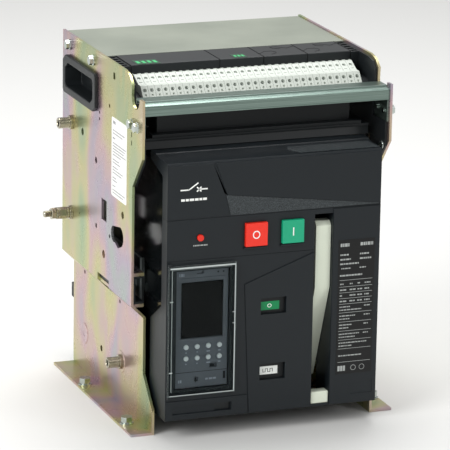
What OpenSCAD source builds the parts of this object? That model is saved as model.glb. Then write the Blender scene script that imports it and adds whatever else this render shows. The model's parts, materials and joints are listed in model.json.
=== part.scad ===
// Three-pole draw-out air circuit breaker, in its fixed steel cradle.
// Millimetres. +Z is up and the front faces -Y. The origin lies on the floor plane, at the
// middle of the cradle's feet. Everything is drawn at rest: racked in, contacts open.

/* [Cradle] */
// Height of the side plates
cradle_h = 430; // [410:5:520]
// Depth of the side plates and of their feet
cradle_d = 296; // [290:2:360]
// Thickness of the side sheets
sheet = 3; // [2:0.5:4]
// Reach of each foot flange beyond its plate
foot_reach = 26; // [22:1:40]
// Gap between the breaker and the upper part of a side plate, where a rail runs
rail_gap = 19.5; // [18:0.5:26]
// Gap between the breaker and the lower part of a side plate
low_gap = 4; // [3.5:0.5:8]
// Height at which each side plate steps inwards
joggle_z = 150; // [146:1:152]
// Height of the cross rail's lower edge below the top of the cradle
rail_drop = 43; // [40:1:60]

/* [Breaker body] */
// Width of the front cover
breaker_w = 268; // [264:2:330]
// Distance between poles
pole_pitch = 85; // [80:1:88]
// How far the cover's face stands ahead of the cradle
front_reach = 25.5; // [20:0.5:40]
// Height of the cover's lower edge above the floor
cover_z = 24; // [20:1:30]
// Height of the joint between lower and upper cover
split_z = 268; // [266:1:272]
// Height of the upper cover's front edge
cover_top = 336; // [330:1:340]
// Wall of the moulded covers
wall = 3; // [2:0.5:4]

/* [Main circuit] */
// Height of the upper terminals
upper_z = 262; // [258:1:266]
// Height of the lower terminals
lower_z = 112; // [106:1:116]
// Width of a terminal bar
bar_w = 50; // [40:2:56]
// Thickness of a terminal bar
bar_t = 15; // [10:1:20]
// How far the terminals stand out behind the side plates
terminal_reach = 53.5; // [45:0.5:80]
// Distance between the two bolt holes of a terminal
terminal_pitch = 25; // [20:1:28]
// Diameter of the terminal bolt holes
terminal_hole = 13; // [9:1:14]
// Running clearance of pins and shafts, on the radius
fit = 0.05; // [0.02:0.01:0.1]
// Clearance between parts that pass each other
gap = 0.3; // [0.2:0.1:0.5]

/* [Front panel] */
// Width of the opening and closing buttons
button_w = 27; // [20:1:30]
// Height of the opening and closing buttons
button_h = 28; // [20:1:32]
// Centre of the opening button
off_x = -24; // [-30:1:-20]
// Centre of the closing button
on_x = 22; // [18:1:26]
// Centre height of both buttons
button_z = 244.5; // [242:0.5:247]
// Centre of the reset button
reset_x = -93; // [-110:1:-80]
// Radius of the reset button
reset_r = 4; // [3:0.5:6]
// Width of the charging handle's slot
slot_w = 23; // [21:0.5:26]
// Left edge of the charging handle's slot
slot_x = 50.5; // [48:0.5:52]
// Width of the trip unit's face
trip_w = 66; // [60:1:68]
// Height of the trip unit's face
trip_h = 144; // [130:1:146]
// Spacing of the trip unit's keys
key_pitch = 13.9; // [12:0.1:15]
// Diameter of a key
key_d = 6; // [5:0.5:10]

/* [Travel] */
// Travel of the racking screw, from connected to isolated
rack_travel = 55; // [45:1:60]
// Travel of the extension rails
rail_travel = 200; // [160:5:220]
// Travel of the safety shutters
shutter_travel = 52; // [48:1:54]

/* [Hidden] */
$fn = 48;

// Side plates: x of the outer and inner faces, above and below the joggle
half_w = breaker_w / 2;
up_in = half_w + rail_gap;
up_out = up_in + sheet;
low_in = half_w + low_gap;
low_out = low_in + sheet;
foot_out = low_out + foot_reach;
front_y = -cradle_d / 2;
back_y = cradle_d / 2;
joggle_low = joggle_z - (up_out - low_out);
bend_shift = sheet * tan(22.5);

// Top of the cradle
cover_y = -2;
module_top = cradle_h - 2;
module_front = front_y + 88;
step_y = front_y + 60;
strip_foot_y = front_y + 47;
strip_foot_z = cradle_h - 36;
carrier_z = cradle_h - 40;
rail_z = cradle_h - rail_drop;
rail_flange = rail_z - 27;
wing_z = cradle_h - 24;
kink_z = cradle_h - 93;
waist_y = front_y + 34;
terminal_ways = 32;
way_pitch = 8.66;

// Breaker envelope
face_y = front_y - front_reach;
cover_in = face_y + wall;
side_back = face_y + 17.5;
low_back = face_y + 55;
roof_y = front_y + 34.5;
roof_z = cover_top + 3;
housing_w = half_w - 3;
housing_z = 50;
housing_top = 345;
house_front = front_y + 68;
house_split = 0;
house_back = back_y - 72;
rib = 8;
shroud_top = housing_top + 7;

// Main circuit, from the breaker's bars back through the clusters to the terminals
bar_end = house_back + 22;
cluster_front = bar_end - 14;
cluster_back = bar_end + 36;
stab_front = bar_end + 20;
base_front = back_y - 10;
terminal_back = back_y + terminal_reach;
shutter_y = bar_end + 11;
shutter_t = 2.5;
shutter_h = 51;
jaw_t = 6;
jaw_reach = bar_t / 2 + gap + jaw_t;
shutter_room = 8;

// Contact linkage: pivot of the arms, main shaft and their levers
pivot_y = -8;
pivot_z = lower_z + 8;
arm_len = 130;
arm_hole = 62.5;
arm_open = 24;
arm_w = 24;
shaft_y = front_y + 50;
shaft_z = pivot_z + 45;
shaft_r = 8;
lever_len = 26;
lever_tilt = 30;
pin_r = 3;
link_t = 6;
link_slack = 2.6;
lever_tip = [shaft_y - lever_len * sin(lever_tilt), shaft_z + lever_len * cos(lever_tilt)];
arm_tip = [pivot_y - arm_hole * sin(arm_open), pivot_z + arm_hole * cos(arm_open)];

// Rails, shoes and racking screw
rail_zc = joggle_z + 19;
rail_h = 33.4;
rail_t = 2.5;
rail_front = waist_y + 2;
rail_back = back_y - 22;
rail_x0 = up_in - 0.6;
rail_x1 = half_w + 6;
guide_t = 4;
screw_x = -62;
screw_z = 36.5;
screw_r = 6;
screw_front = face_y + 7;
screw_len = 184;
nut_y = front_y + 80;

// Operating mechanism
mech_l = -38;
mech_r = 47;
mech_t = 3;
mech_front = face_y + 14;
mech_back = house_front;
mech_top = 226;
handle_x = slot_x + 3.7;
handle_w = slot_w - 4;
handle_y = face_y + 63.5;
handle_z = 66;
handle_top = split_z - 17;
handle_face = face_y + 4.5;
cam_y = face_y + 63.5;
cam_z = 110;
trip_x = -121.5;
trip_z = 62;
trip_face = face_y + 3;
trip_depth = 52;
key_x = trip_x + 14;
key_z = trip_z + 36.2;
door_x = -half_w + 1.5;
door_w = 84;
door_z = 55;
door_h = 158.5;
door_t = 5;
hinge_x = door_x + 1.1;
hinge_y = face_y - door_t + 2;
hinge_r = 1;
window_w = 32;
window_h = 20;
flag_travel = 22;
status_z = 155;
charge_z = 74;
strip_top = 48;
socket_z = [screw_z - 5, screw_z + 5];
foot_bolt_y = [front_y + 42, front_y + 199];

// Helpers: a box from ranges, and a plate whose outline is drawn on the two other axes
module block(x, y, z) {
  translate([x[0], y[0], z[0]]) cube([x[1] - x[0], y[1] - y[0], z[1] - z[0]]);
}
module plate_x(x) {
  translate([x[0], 0, 0]) rotate([90, 0, 90]) linear_extrude(x[1] - x[0]) children();
}
module plate_y(y) {
  translate([0, y[1], 0]) rotate([90, 0, 0]) linear_extrude(y[1] - y[0]) children();
}
module rod_x(x, y, z, r) {
  translate([x[0], y, z]) rotate([0, 90, 0]) cylinder(h = x[1] - x[0], r = r);
}
module rod_y(x, y, z, r) {
  translate([x, y[0], z]) rotate([-90, 0, 0]) cylinder(h = y[1] - y[0], r = r);
}
module rod_z(x, y, z, r) {
  translate([x, y, z[0]]) cylinder(h = z[1] - z[0], r = r);
}
module both_sides() {
  children();
  mirror([1, 0, 0]) children();
}
module at_poles() {
  for (i = [-1:1]) translate([i * pole_pitch, 0, 0]) children();
}
module hex_x(x, y, z, flats) {
  translate([x[0], y, z]) rotate([0, 90, 0]) cylinder(h = x[1] - x[0], r = flats / sqrt(3), $fn = 6);
}

// ---- Cradle ----

// Cross-section of the left side plate on X and Z, with the joggle and the foot flange
module plate_section() {
  polygon([
    [-up_out, cradle_h], [-up_in, cradle_h], [-up_in, joggle_z + bend_shift],
    [-low_in, joggle_low + bend_shift], [-low_in, 0], [-foot_out, 0], [-foot_out, sheet],
    [-low_out, sheet], [-low_out, joggle_low], [-up_out, joggle_z]
  ]);
}

// Outline of a side plate on Y and Z, with the wing that holds the cross rail
module plate_outline() {
  notch_r = 14;
  notch_y = front_y + 25;
  difference() {
    polygon([
      [back_y, 0], [back_y, cradle_h], [front_y + 64, cradle_h], [front_y + 48, cradle_h - 3],
      [front_y + 38, cradle_h - 12], [notch_y + notch_r, wing_z - 1], [notch_y - notch_r, wing_z],
      [front_y, wing_z], [front_y, kink_z], [waist_y, kink_z - 41], [waist_y, 66],
      [front_y, 30], [front_y, 0]
    ]);
    translate([notch_y, wing_z - 1]) circle(r = notch_r);
  }
}

// Rounded opening in a side plate, on Y and Z
module teardrop_hole() {
  translate([front_y + 76, 224]) circle(r = 12);
  translate([front_y + 99, 222]) circle(r = 10);
  polygon([
    [front_y + 76, 236], [front_y + 99, 232], [front_y + 108, 218],
    [front_y + 84, 208], [front_y + 70, 213.6]
  ]);
}

module plate_holes() {
  through = [-up_out - 1, -low_in + 1];
  rounds = [
    [back_y - 77.5, 319, 4.5], [back_y - 129.5, 296, 4], [back_y - 178, 374, 2.5],
    [back_y - 141.5, 358, 2], [back_y - 141.5, 350, 2], [back_y - 228.5, 253, 4.5],
    [back_y - 131.5, 215, 3], [back_y - 182, 215, 2.5], [back_y - 160, 187, 5],
    [back_y - 109, 51.5, 4], [back_y - 43.5, 131, 2.5], [back_y - 177, 131, 2.5]
  ];
  for (h = rounds) rod_x(through, h[0], h[1], h[2]);
  plate_x(through) teardrop_hole();
  block(through, [back_y - 170, back_y - 151], [229, 255]);
  block(through, [back_y - 180, back_y - 138], [joggle_z - 9, joggle_z + 9]);
  block(through, [back_y - 198, back_y - 191], [cradle_h - 20, cradle_h - 12]);
  block(through, [front_y + 36.5, front_y + 39], [345, 351]);
  block(through, [front_y + 36.5, front_y + 39], [355, 361]);
}

module side_plate() {
  guide_y = [waist_y + 2, rail_back];
  guide_z = rail_h / 2 + gap;
  difference() {
    intersection() {
      plate_y([front_y, back_y]) plate_section();
      plate_x([-foot_out, -low_in]) plate_outline();
    }
    plate_holes();
    block([-up_out - 1, -up_in + 1], [cup_y - cup_w / 2, cup_y + cup_w / 2], [cup_z - cup_h / 2, cup_z + cup_h / 2]);
    for (y = foot_bolt_y) rod_z(-foot_out + 9, y, [-1, sheet + 1], bolt_r + 0.5);
    for (b = cover_bolts) rod_x([-up_out - 1, -up_in + 1], b[0], b[1], side_bolt_r + 0.2);
  }
  for (s = [-1, 1])
    block([-up_in, -rail_x1], guide_y, [rail_zc + s * (guide_z + guide_t / 2) - guide_t / 2,
                                        rail_zc + s * (guide_z + guide_t / 2) + guide_t / 2]);
}

module left_side_plate() {
  color("#cbb9bb") difference() {
    side_plate();
    rod_x([-up_out - 1, -up_in + 1], stud_y, stud_z, stud_r);
    rod_x([-up_out - 1, -up_in + 1], stud_y, bush_z, bush_r);
    rod_x([-low_out - 1, -low_in + 1], bush_low_y, bush_low_z, bush_r);
  }
}

module right_side_plate() {
  color("#c9c79b") mirror([1, 0, 0]) side_plate();
}

module top_cover() {
  hem = 20;
  color("#b1b6ab") difference() {
    block([-up_in, up_in], [cover_y, back_y], [cradle_h - hem - 2, cradle_h - 2]);
    block([-up_in + 1.5, up_in - 1.5], [cover_y + 1.5, back_y - 1.5], [cradle_h - hem - 3, cradle_h - 3.5]);
    for (b = cover_bolts) if (b[0] > cover_y)
      rod_x([-up_in - 1, up_in + 1], b[0], b[1], side_bolt_r);
  }
}

module base_plate() {
  y0 = front_y + 78;
  y1 = back_y - 3;
  color("#c2bf8e") {
    difference() {
      union() {
        block([-low_in, low_in], [y0, y1], [0, sheet]);
        both_sides() block([-low_in, -low_in + sheet], [y0, y1], [0, 20]);
        block([-low_in, low_in], [y1 - sheet, y1], [0, 20]);
      }
      for (x = [-70, 70], y = [-35, 105]) rod_z(x, y, [-1, sheet + 1], 9);
    }
    difference() {
      block([screw_x - 14, screw_x + 14], [nut_y, nut_y + 20], [sheet, screw_z + 10]);
      rod_y(screw_x, [nut_y - 1, nut_y + 21], screw_z, screw_r + fit);
    }
  }
}

module rear_base() {
  groove = shutter_t + 2 * gap;
  post = 8;
  window_x = bar_w / 2;
  color("#1b1f21") {
    difference() {
      union() {
        block([-low_in + 0.5, low_in - 0.5], [base_front, back_y - 2], [20.3, 396]);
        both_sides() block([-low_in + 0.5, -low_in + 0.5 + post], [shutter_y - 4, base_front], [20.3, 390]);
      }
      at_poles() for (z = [upper_z, lower_z])
        block([-window_x, window_x], [base_front - 1, back_y], [z - bar_t / 2, z + bar_t / 2]);
      both_sides() block([-low_in + 4, -low_in + 20], [shutter_y - gap, shutter_y + groove - gap], [24, 388]);
    }
    both_sides() block([low_in - 7, low_in - 0.8], [back_y - 2, back_y + 20], [82, 100]);
    for (x = [-1.5:1.5]) block([x * pole_pitch - 2, x * pole_pitch + 2], [back_y - 2, back_y + 10], [24, 392]);
  }
}

module rear_terminals() {
  color("#cfcbc6") at_poles() for (z = [upper_z, lower_z]) difference() {
    block([-bar_w / 2, bar_w / 2], [stab_front, terminal_back], [z - bar_t / 2, z + bar_t / 2]);
    for (s = [-1, 1])
      rod_z(s * terminal_pitch / 2, terminal_back - 20, [z - bar_t, z + bar_t], terminal_hole / 2);
  }
}

// Folded channel between the two wings, its ends turned down against them
module cross_rail() {
  t = 2;
  color("#8fa097") {
    plate_x([-up_in, up_in]) polygon([
      [front_y + 2, rail_z], [front_y + 2, rail_z + 12], [front_y + 5, rail_z + 14],
      [front_y + 9, rail_z + 14], [front_y + 11, rail_z + 16], [front_y + 32, rail_z + 16],
      [front_y + 32, rail_z + 10], [front_y + 30, rail_z + 10], [front_y + 30, rail_z + 14],
      [front_y + 12, rail_z + 14], [front_y + 10, rail_z + 12], [front_y + 6, rail_z + 12],
      [front_y + 4, rail_z + 10], [front_y + 4, rail_z + t], [front_y + 10, rail_z + t],
      [front_y + 10, rail_z]
    ]);
    both_sides() difference() {
      block([-up_in, -up_in + t], [front_y + 4, front_y + 42], [rail_flange, rail_z]);
      for (b = rail_bolts) rod_x([-up_in - 1, -up_in + 4], b[0], b[1], side_bolt_r);
    }
  }
}

// Hexagon screws through the side plates: heads outside, shanks in what they hold
side_bolt_r = 3;
cover_bolts = [
  [back_y - 30, cradle_h - 13], [back_y - 120, cradle_h - 13],
  [front_y + 13, cradle_h - 58], [front_y + 33, cradle_h - 58]
];
rail_bolts = [cover_bolts[2], cover_bolts[3]];
module side_bolts() {
  color("#b9c0bd") both_sides() for (b = cover_bolts) {
    hex_x([-up_out - 7, -up_out - 2.5], b[0], b[1], 10);
    rod_x([-up_out - 2.5, -up_out], b[0], b[1], 6.5);
    rod_x([-up_out, -up_in + 4], b[0], b[1], side_bolt_r - 0.05);
  }
}

// Hexagon screws with washers in the feet; each shank ends flush with the underside
bolt_r = 4;
module foot_bolts() {
  color("#c9d2cf") both_sides() for (y = foot_bolt_y) translate([-foot_out + 9, y, 0]) {
    cylinder(h = sheet, r = bolt_r);
    translate([0, 0, sheet]) cylinder(h = 1.6, r = 8.5);
    translate([0, 0, sheet + 1.6]) cylinder(h = 2, r = 6.6);
    translate([0, 0, sheet + 3.6]) rotate([0, 0, 10]) cylinder(h = 5.3, r = 13 / sqrt(3), $fn = 6);
  }
}

// Recessed lifting grips, let into both side plates
cup_y = back_y - 75;
cup_z = cradle_h - 50.5;
cup_w = 112;
cup_h = 36;
cup_depth = 16;
module cup_outline(grow) {
  w = cup_w / 2 + grow;
  h = cup_h / 2 + grow;
  polygon([
    [cup_y - w, cup_z - h + 7], [cup_y - w + 10, cup_z - h], [cup_y + w - 4, cup_z - h],
    [cup_y + w, cup_z - h + 4], [cup_y + w, cup_z + h - 7], [cup_y + w - 10, cup_z + h],
    [cup_y - w + 4, cup_z + h], [cup_y - w, cup_z + h - 4]
  ]);
}
module grip_cups() {
  rim = 5;
  color("#2b2f30") both_sides() difference() {
    union() {
      plate_x([-up_out - rim, -up_out]) cup_outline(6);
      plate_x([-up_out - 0.1, -up_in + cup_depth]) cup_outline(-0.2);
    }
    plate_x([-up_out - rim - 1, -up_in + cup_depth - 2]) cup_outline(-3);
  }
}

// Earthing stud with its nuts and washers
stud_y = back_y - 36;
stud_z = 207;
stud_r = 4;
stud_reach = 36;
module earth_stud() {
  color("#b6b49a") {
    rod_x([-up_out - stud_reach, -up_in + 1], stud_y, stud_z, stud_r);
    difference() {
      union() {
        hex_x([-up_out - 27, -up_out - 20.5], stud_y, stud_z, 13);
        rod_x([-up_out - 20.5, -up_out - 18], stud_y, stud_z, 7.5);
        hex_x([-up_out - 18, -up_out - 7], stud_y, stud_z, 13);
        rod_x([-up_out - 7, -up_out - 4], stud_y, stud_z, 7);
        rod_x([-up_out - 4, -up_out], stud_y, stud_z, 8.5);
      }
      rod_x([-up_out - 30, -up_out + 1], stud_y, stud_z, stud_r);
    }
  }
}

// Hollow threaded bushings for the interlock cables
bush_r = 6.8;
bush_bore = 3.8;
bush_z = 321;
bush_low_y = back_y - 183;
bush_low_z = 57;
module bushing(x_out, x_in, y, z) {
  difference() {
    union() {
      rod_x([x_out - 18, x_in + 2], y, z, bush_r);
      rod_x([x_out - 4, x_out], y, z, 8.8);
    }
    rod_x([x_out - 19, x_in + 3], y, z, bush_bore);
  }
}
module interlock_bushings() {
  color("#a9a38f") {
    bushing(-up_out, -up_in, stud_y, bush_z);
    bushing(-low_out, -low_in, bush_low_y, bush_low_z);
  }
}

// Moulded carrier across the top of the cradle, with a ribbed end on each side
module terminal_carrier() {
  end_x = 139.8;
  liner = 3;
  color("#1d2123") {
    both_sides() plate_x([-up_in + 0.2, -up_in + 0.2 + liner]) polygon([
      [front_y + 5, 334], [cover_y, 334], [cover_y, carrier_z], [cover_y - 0.3, cradle_h - 3],
      [front_y + 63, cradle_h - 3], [front_y + 49, cradle_h - 6], [front_y + 41, cradle_h - 14],
      [front_y + 41, rail_z + 0.5], [front_y + 43, rail_z + 0.5], [front_y + 43, rail_flange - 0.5],
      [front_y + 5, rail_flange - 0.5]
    ]);
    plate_x([-up_in + 0.2, up_in - 0.2]) polygon([
      [strip_foot_y - 4.5, carrier_z - 4], [strip_foot_y - 4.5, carrier_z + 3],
      [strip_foot_y - 1, carrier_z + 3], [step_y + 8, carrier_z + 10], [module_front + 3, carrier_z + 10],
      [module_front + 3, carrier_z + 4], [cover_y - 0.3, carrier_z + 4], [cover_y - 0.3, carrier_z - 4]
    ]);
    both_sides() difference() {
      block([-up_in + 0.2, -end_x], [module_front + 3, cover_y - 0.3], [carrier_z + 4, module_top - 1]);
      for (i = [0:4])
        block([-up_in + 2.5, -end_x - 2.5], [module_front + 6 + i * 10.5, module_front + 13 + i * 10.5],
              [module_top - 8, module_top]);
    }
  }
}

// Two-tier row of spring terminals
strip_profile = [
  [strip_foot_y, strip_foot_z], [strip_foot_y + 13, strip_foot_z + 16],
  [step_y + 7.5, strip_foot_z + 16], [module_front - 3.5, cradle_h - 12],
  [module_front + 2.7, cradle_h - 12], [module_front + 2.7, carrier_z + 10.3],
  [step_y + 8.2, carrier_z + 10.3], [strip_foot_y + 2, carrier_z + 5]
];
module terminal_strip() {
  color("#e9ede6") for (i = [0:3])
    plate_x([(i - 2) * 8 * way_pitch, (i - 1) * 8 * way_pitch - 0.2]) polygon(strip_profile);
}

// Plug-in accessory modules behind the terminals: one double and three single ones
module aux_modules() {
  unit = 55.9;
  color("#26292b") for (m = [[0, 2], [2, 3], [3, 4], [4, 5]])
    block([(m[0] - 2.5) * unit + 0.15, (m[1] - 2.5) * unit - 0.15],
          [module_front + 3.2, cover_y - 0.5], [carrier_z + 4.2, module_top]);
}

// Control circuit connectors: the socket stays in the cradle, the plug rides on the breaker
socket_y = front_y + 77;
tongue_z = 370;
module secondary_socket() {
  color("#202426") {
    block([-120, 120], [socket_y, socket_y + 26], [356, carrier_z - 4.2]);
    block([-110, 110], [socket_y - 12, socket_y], [tongue_z - 2, tongue_z + 2]);
  }
}
module secondary_plug() {
  color("#1e2224") difference() {
    union() {
      block([-122, 122], [socket_y - 29, socket_y - 0.5], [shroud_top, carrier_z - 7]);
      block([-132, 132], [socket_y - 42, socket_y - 29], [shroud_top, shroud_top + 4]);
    }
    block([-111, 111], [socket_y - 13, socket_y], [tongue_z - 2.5, tongue_z + 2.5]);
  }
}

// ---- Extension rails and shutters ----
module rail() {
  zt = rail_zc + rail_h / 2;
  zb = rail_zc - rail_h / 2;
  plate_y([rail_front, rail_back]) polygon([
    [-rail_x0, zb], [-rail_x1, zb], [-rail_x1, zb + rail_t], [-rail_x0 + rail_t, zb + rail_t],
    [-rail_x0 + rail_t, zt - rail_t], [-rail_x1, zt - rail_t], [-rail_x1, zt], [-rail_x0, zt]
  ]);
}
module left_rail() {
  color("#3a3d3f") rail();
}
module right_rail() {
  color("#3a3d3f") mirror([1, 0, 0]) rail();
}

module shutter(z) {
  x = low_in - 4.6;
  block([-x, x], [shutter_y, shutter_y + shutter_t], [z, z + shutter_h]);
  block([-x + 12, x - 12], [shutter_y - 3, shutter_y], [z + 4, z + 8]);
}
module upper_shutter() {
  color("#c8a13a") shutter(upper_z + jaw_reach + shutter_room);
}
module lower_shutter() {
  color("#c8a13a") shutter(lower_z - jaw_reach - shutter_room - shutter_h);
}

// ---- Breaker: moulded case and main circuit ----

// Three side by side pole chambers between two Y planes
module pole_case(y, front_wall, back_wall) {
  difference() {
    block([-housing_w, housing_w], y, [housing_z, housing_top]);
    at_poles() block([-(pole_pitch - rib) / 2, (pole_pitch - rib) / 2],
                     [y[0] + front_wall, y[1] - back_wall], [housing_z + 6, housing_top + 1]);
  }
}
module rear_housing() {
  color("#23282a") difference() {
    pole_case([house_split + 0.2, house_back], -1, 6);
    at_poles() for (z = [upper_z, lower_z])
      block([-bar_w / 2 - 0.2, bar_w / 2 + 0.2], [house_back - 8, house_back + 1],
            [z - bar_t / 2 - 0.2, z + bar_t / 2 + 0.2]);
  }
}
module front_housing() {
  cheek = 3;
  color("#2c3133") difference() {
    union() {
      pole_case([house_front, house_split], 6, -1);
      both_sides() plate_x([-housing_w, -housing_w + cheek]) polygon([
        [side_back + 4, 45], [house_front, 45], [house_front, roof_z - 12],
        [roof_y - 4, roof_z - 12], [side_back + 4, 300]
      ]);
    }
    at_poles() block([-12, 12], [house_front - 1, house_front + 8], [shaft_z - 5, shaft_z + 45]);
    rod_x([-housing_w - 1, housing_w + 1], shaft_y, shaft_z, shaft_r + fit);
  }
}

chute_z = upper_z + bar_t / 2 + 5.5;
chute_x = (pole_pitch - rib) / 2 - 2;
chute_y = [house_front + 8, house_back - 8];
module arc_chutes() {
  flange = 3;
  color("#5a4a3c") at_poles() difference() {
    union() {
      block([-chute_x, chute_x], chute_y, [chute_z, housing_top + 0.3]);
      block([-chute_x - 4, chute_x + 4], [chute_y[0] - 4, chute_y[1] + 4], [housing_top, housing_top + flange]);
    }
    block([-chute_x + 3, chute_x - 3], [chute_y[0] + 3, chute_y[1] - 3], [chute_z - 1, housing_top - 4]);
    for (i = [-2:2]) block([i * 12 - 3, i * 12 + 3], [chute_y[0] + 12, chute_y[1] - 12],
                           [housing_top - 5, housing_top + flange + 1]);
  }
}
module splitter_plates() {
  count = 9;
  first = chute_y[0] + 9;
  pitch = (chute_y[1] - chute_y[0] - 18) / (count - 1);
  color("#9a9c9c") at_poles() for (i = [0:count - 1])
    block([-chute_x + 3, chute_x - 3], [first + i * pitch - 1, first + i * pitch + 1], [chute_z + 4, housing_top - 4.5]);
}

// Vented lid over the arc chutes; its front edge meets the upper cover's roof
module arc_shroud() {
  t = 3;
  x = half_w + 8;
  color("#23282a") difference() {
    union() {
      block([-x, x], [roof_y + 1, house_back + 2], [shroud_top - t, shroud_top]);
      both_sides() block([-x, -x + t], [roof_y + 8, house_back + 2], [shroud_top - 20, shroud_top]);
      plate_x([-x, x]) polygon([
        [roof_y + 0.5, roof_z], [roof_y + 3.5, roof_z], [roof_y + 8, shroud_top - t],
        [roof_y + 8, shroud_top], [roof_y + 5, shroud_top]
      ]);
    }
    at_poles() for (i = [-2:2])
      block([i * 14 - 4, i * 14 + 4], [house_front + 30, house_back - 14], [shroud_top - t - 1, shroud_top + 1]);
  }
}

module upper_contacts() {
  pad = pivot_y + 16;
  color("#c8744a") at_poles() {
    block([-bar_w / 2, bar_w / 2], [pad + 6, bar_end], [upper_z - bar_t / 2, upper_z + bar_t / 2]);
    block([-arm_w / 2, arm_w / 2], [pad + gap, pad + 14], [upper_z - 34, upper_z - bar_t / 2]);
  }
}
module lower_contacts() {
  ear = arm_w / 2 + 0.5;
  color("#c8744a") at_poles() {
    block([-bar_w / 2, bar_w / 2], [pivot_y + 12, bar_end], [lower_z - bar_t / 2, lower_z + bar_t / 2]);
    both_sides() block([-ear - 6, -ear], [pivot_y - 9, pivot_y + 12],
                       [lower_z - bar_t / 2, pivot_z + 9]);
    rod_x([-ear - 6, ear + 6], pivot_y, pivot_z, 4);
  }
}

// Sprung jaws at the back of the breaker: each grips the breaker's bar and the cradle's
module contact_clusters() {
  color("#b98a5a") at_poles() for (z = [upper_z, lower_z], s = [-1, 1]) {
    for (i = [-3:3]) {
      x = i * 6.6;
      low = z + s * (bar_t / 2 + gap + jaw_t / 2) - jaw_t / 2;
      block([x - 2.6, x + 2.6], [cluster_front, cluster_back], [low, low + jaw_t]);
      block([x - 2.6, x + 2.6], [bar_end - 10, bar_end - 6], [min(low + jaw_t / 2, z + s * bar_t / 2),
                                                               max(low + jaw_t / 2, z + s * bar_t / 2)]);
    }
    rod_x([-23, 23], (cluster_front + cluster_back) / 2, z + s * (jaw_reach + 2), 2);
  }
}

module current_transformers() {
  y = [house_split + 30, house_split + 58];
  ct_x = (pole_pitch - rib) / 2 - 4.5;
  color("#7d8a86") at_poles() difference() {
    block([-ct_x, ct_x], y, [lower_z - 26, lower_z + 26]);
    block([-bar_w / 2 - 0.3, bar_w / 2 + 0.3], [y[0] - 1, y[1] + 1],
          [lower_z - bar_t / 2 - 0.3, lower_z + bar_t / 2 + 0.3]);
  }
}

// Steel straps on the case with the shoes that run in the rails, and the screw's hangers
module carriage() {
  shoe_h = rail_h / 2 - rail_t - gap;
  color("#8b9192") {
    both_sides() {
      block([-housing_w - 3, -housing_w], [house_front, house_back - 6], [rail_zc - 30, rail_zc + 30]);
      for (y = [house_front + 20, house_back - 26]) {
        block([-rail_x0 + rail_t + gap, -rail_x1 + 1], [y - 16, y + 16], [rail_zc - shoe_h, rail_zc + shoe_h]);
        block([-rail_x1, -housing_w - 2], [y - 10, y + 10], [rail_zc - 7, rail_zc + 7]);
      }
    }
    for (y = hangers) difference() {
      block([screw_x - 11, screw_x + 11], [y, y + 6], [screw_z - 9, housing_z + 2]);
      rod_y(screw_x, [y - 1, y + 7], screw_z, screw_r - 1 + fit);
    }
    block([screw_x - 11, screw_x + 11], [hangers[0], house_front + 20], [housing_z - 3, housing_z]);
  }
}
hangers = [face_y + 24, front_y + 52];

// Racking spindle: hexagon head behind the sliding shutter, necks in the two hangers
module racking_screw() {
  color("#a7abab") {
    translate([screw_x, screw_front, screw_z]) rotate([-90, 0, 0])
      cylinder(h = hangers[0] - 6 - screw_front, r = 8 / sqrt(3), $fn = 6);
    rod_y(screw_x, [hangers[0] - 6, hangers[0] - gap], screw_z, 7);
    rod_y(screw_x, [hangers[0] - gap, hangers[1] + 6 + gap], screw_z, screw_r - 1);
    rod_y(screw_x, [hangers[0] + 6 + gap, hangers[1] - gap], screw_z, 7);
    rod_y(screw_x, [hangers[1] + 6 + gap, screw_front + screw_len], screw_z, screw_r);
  }
}

// ---- Operating mechanism ----
module mechanism_frame() {
  spacers = [[mech_front + 8, 41], [mech_back - 10, 60], [mech_front + 8, mech_top - 8], [mech_back - 10, mech_top - 8]];
  color("#b7b28a") {
    difference() {
      for (x = [mech_l, mech_r]) block([x - mech_t, x], [mech_front, mech_back], [34, mech_top]);
      rod_x([mech_l - 5, mech_r + 5], shaft_y, shaft_z, shaft_r + fit);
      rod_x([mech_l - 5, mech_r + 5], cam_y, cam_z, 6 + fit);
    }
    for (s = spacers) rod_x([mech_l, mech_r - mech_t], s[0], s[1], 4);
    block([mech_l, spring_x + 15], [spring_y - 12, spring_y + 12], [spring_top, spring_top + 3]);
    rod_z(spring_x, spring_y, [spring_low - 12, spring_top], guide_r);
    rod_x([mech_r, handle_x + handle_w - 3], handle_y, handle_z, 5);
  }
}

// Closing spring as a wound helix, standing on the seat of the charge flag
spring_x = -22;
spring_y = face_y + 36;
spring_low = 60;
spring_top = 200;
spring_r = 9;
wire_r = 2;
guide_r = 4;
spring_turns = 12;
ring_steps = 10;
wire_sides = 6;
function spring_point(i, j) = let(
  a = 360 * i / ring_steps,
  b = 360 * j / wire_sides,
  rise = (spring_top - spring_low - 2 * wire_r) / (spring_turns * ring_steps)
) [
  spring_x + (spring_r + wire_r * cos(b)) * cos(a),
  spring_y + (spring_r + wire_r * cos(b)) * sin(a),
  spring_low + wire_r + i * rise + wire_r * sin(b)
];
module closing_spring() {
  rings = spring_turns * ring_steps;
  points = [for (i = [0:rings], j = [0:wire_sides - 1]) spring_point(i, j)];
  side_faces = [for (i = [0:rings - 1], j = [0:wire_sides - 1]) let(k = (j + 1) % wire_sides)
    [i * wire_sides + j, i * wire_sides + k, (i + 1) * wire_sides + k, (i + 1) * wire_sides + j]];
  first_cap = [for (j = [wire_sides - 1:-1:0]) j];
  last_cap = [for (j = [0:wire_sides - 1]) rings * wire_sides + j];
  color("#70767a") polyhedron(points, concat(side_faces, [first_cap, last_cap]));
}

module charging_motor() {
  y = [mech_front + 4, mech_back - 24];
  color("#4a4f52") {
    rod_y(18, y, 66, 17);
    block([-8, 34], [mech_back - 24, mech_back - 14], [44, 88]);
    block([mech_l, mech_r - mech_t], [mech_back - 30, mech_back - 24.2], [40, 47]);
  }
}

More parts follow.
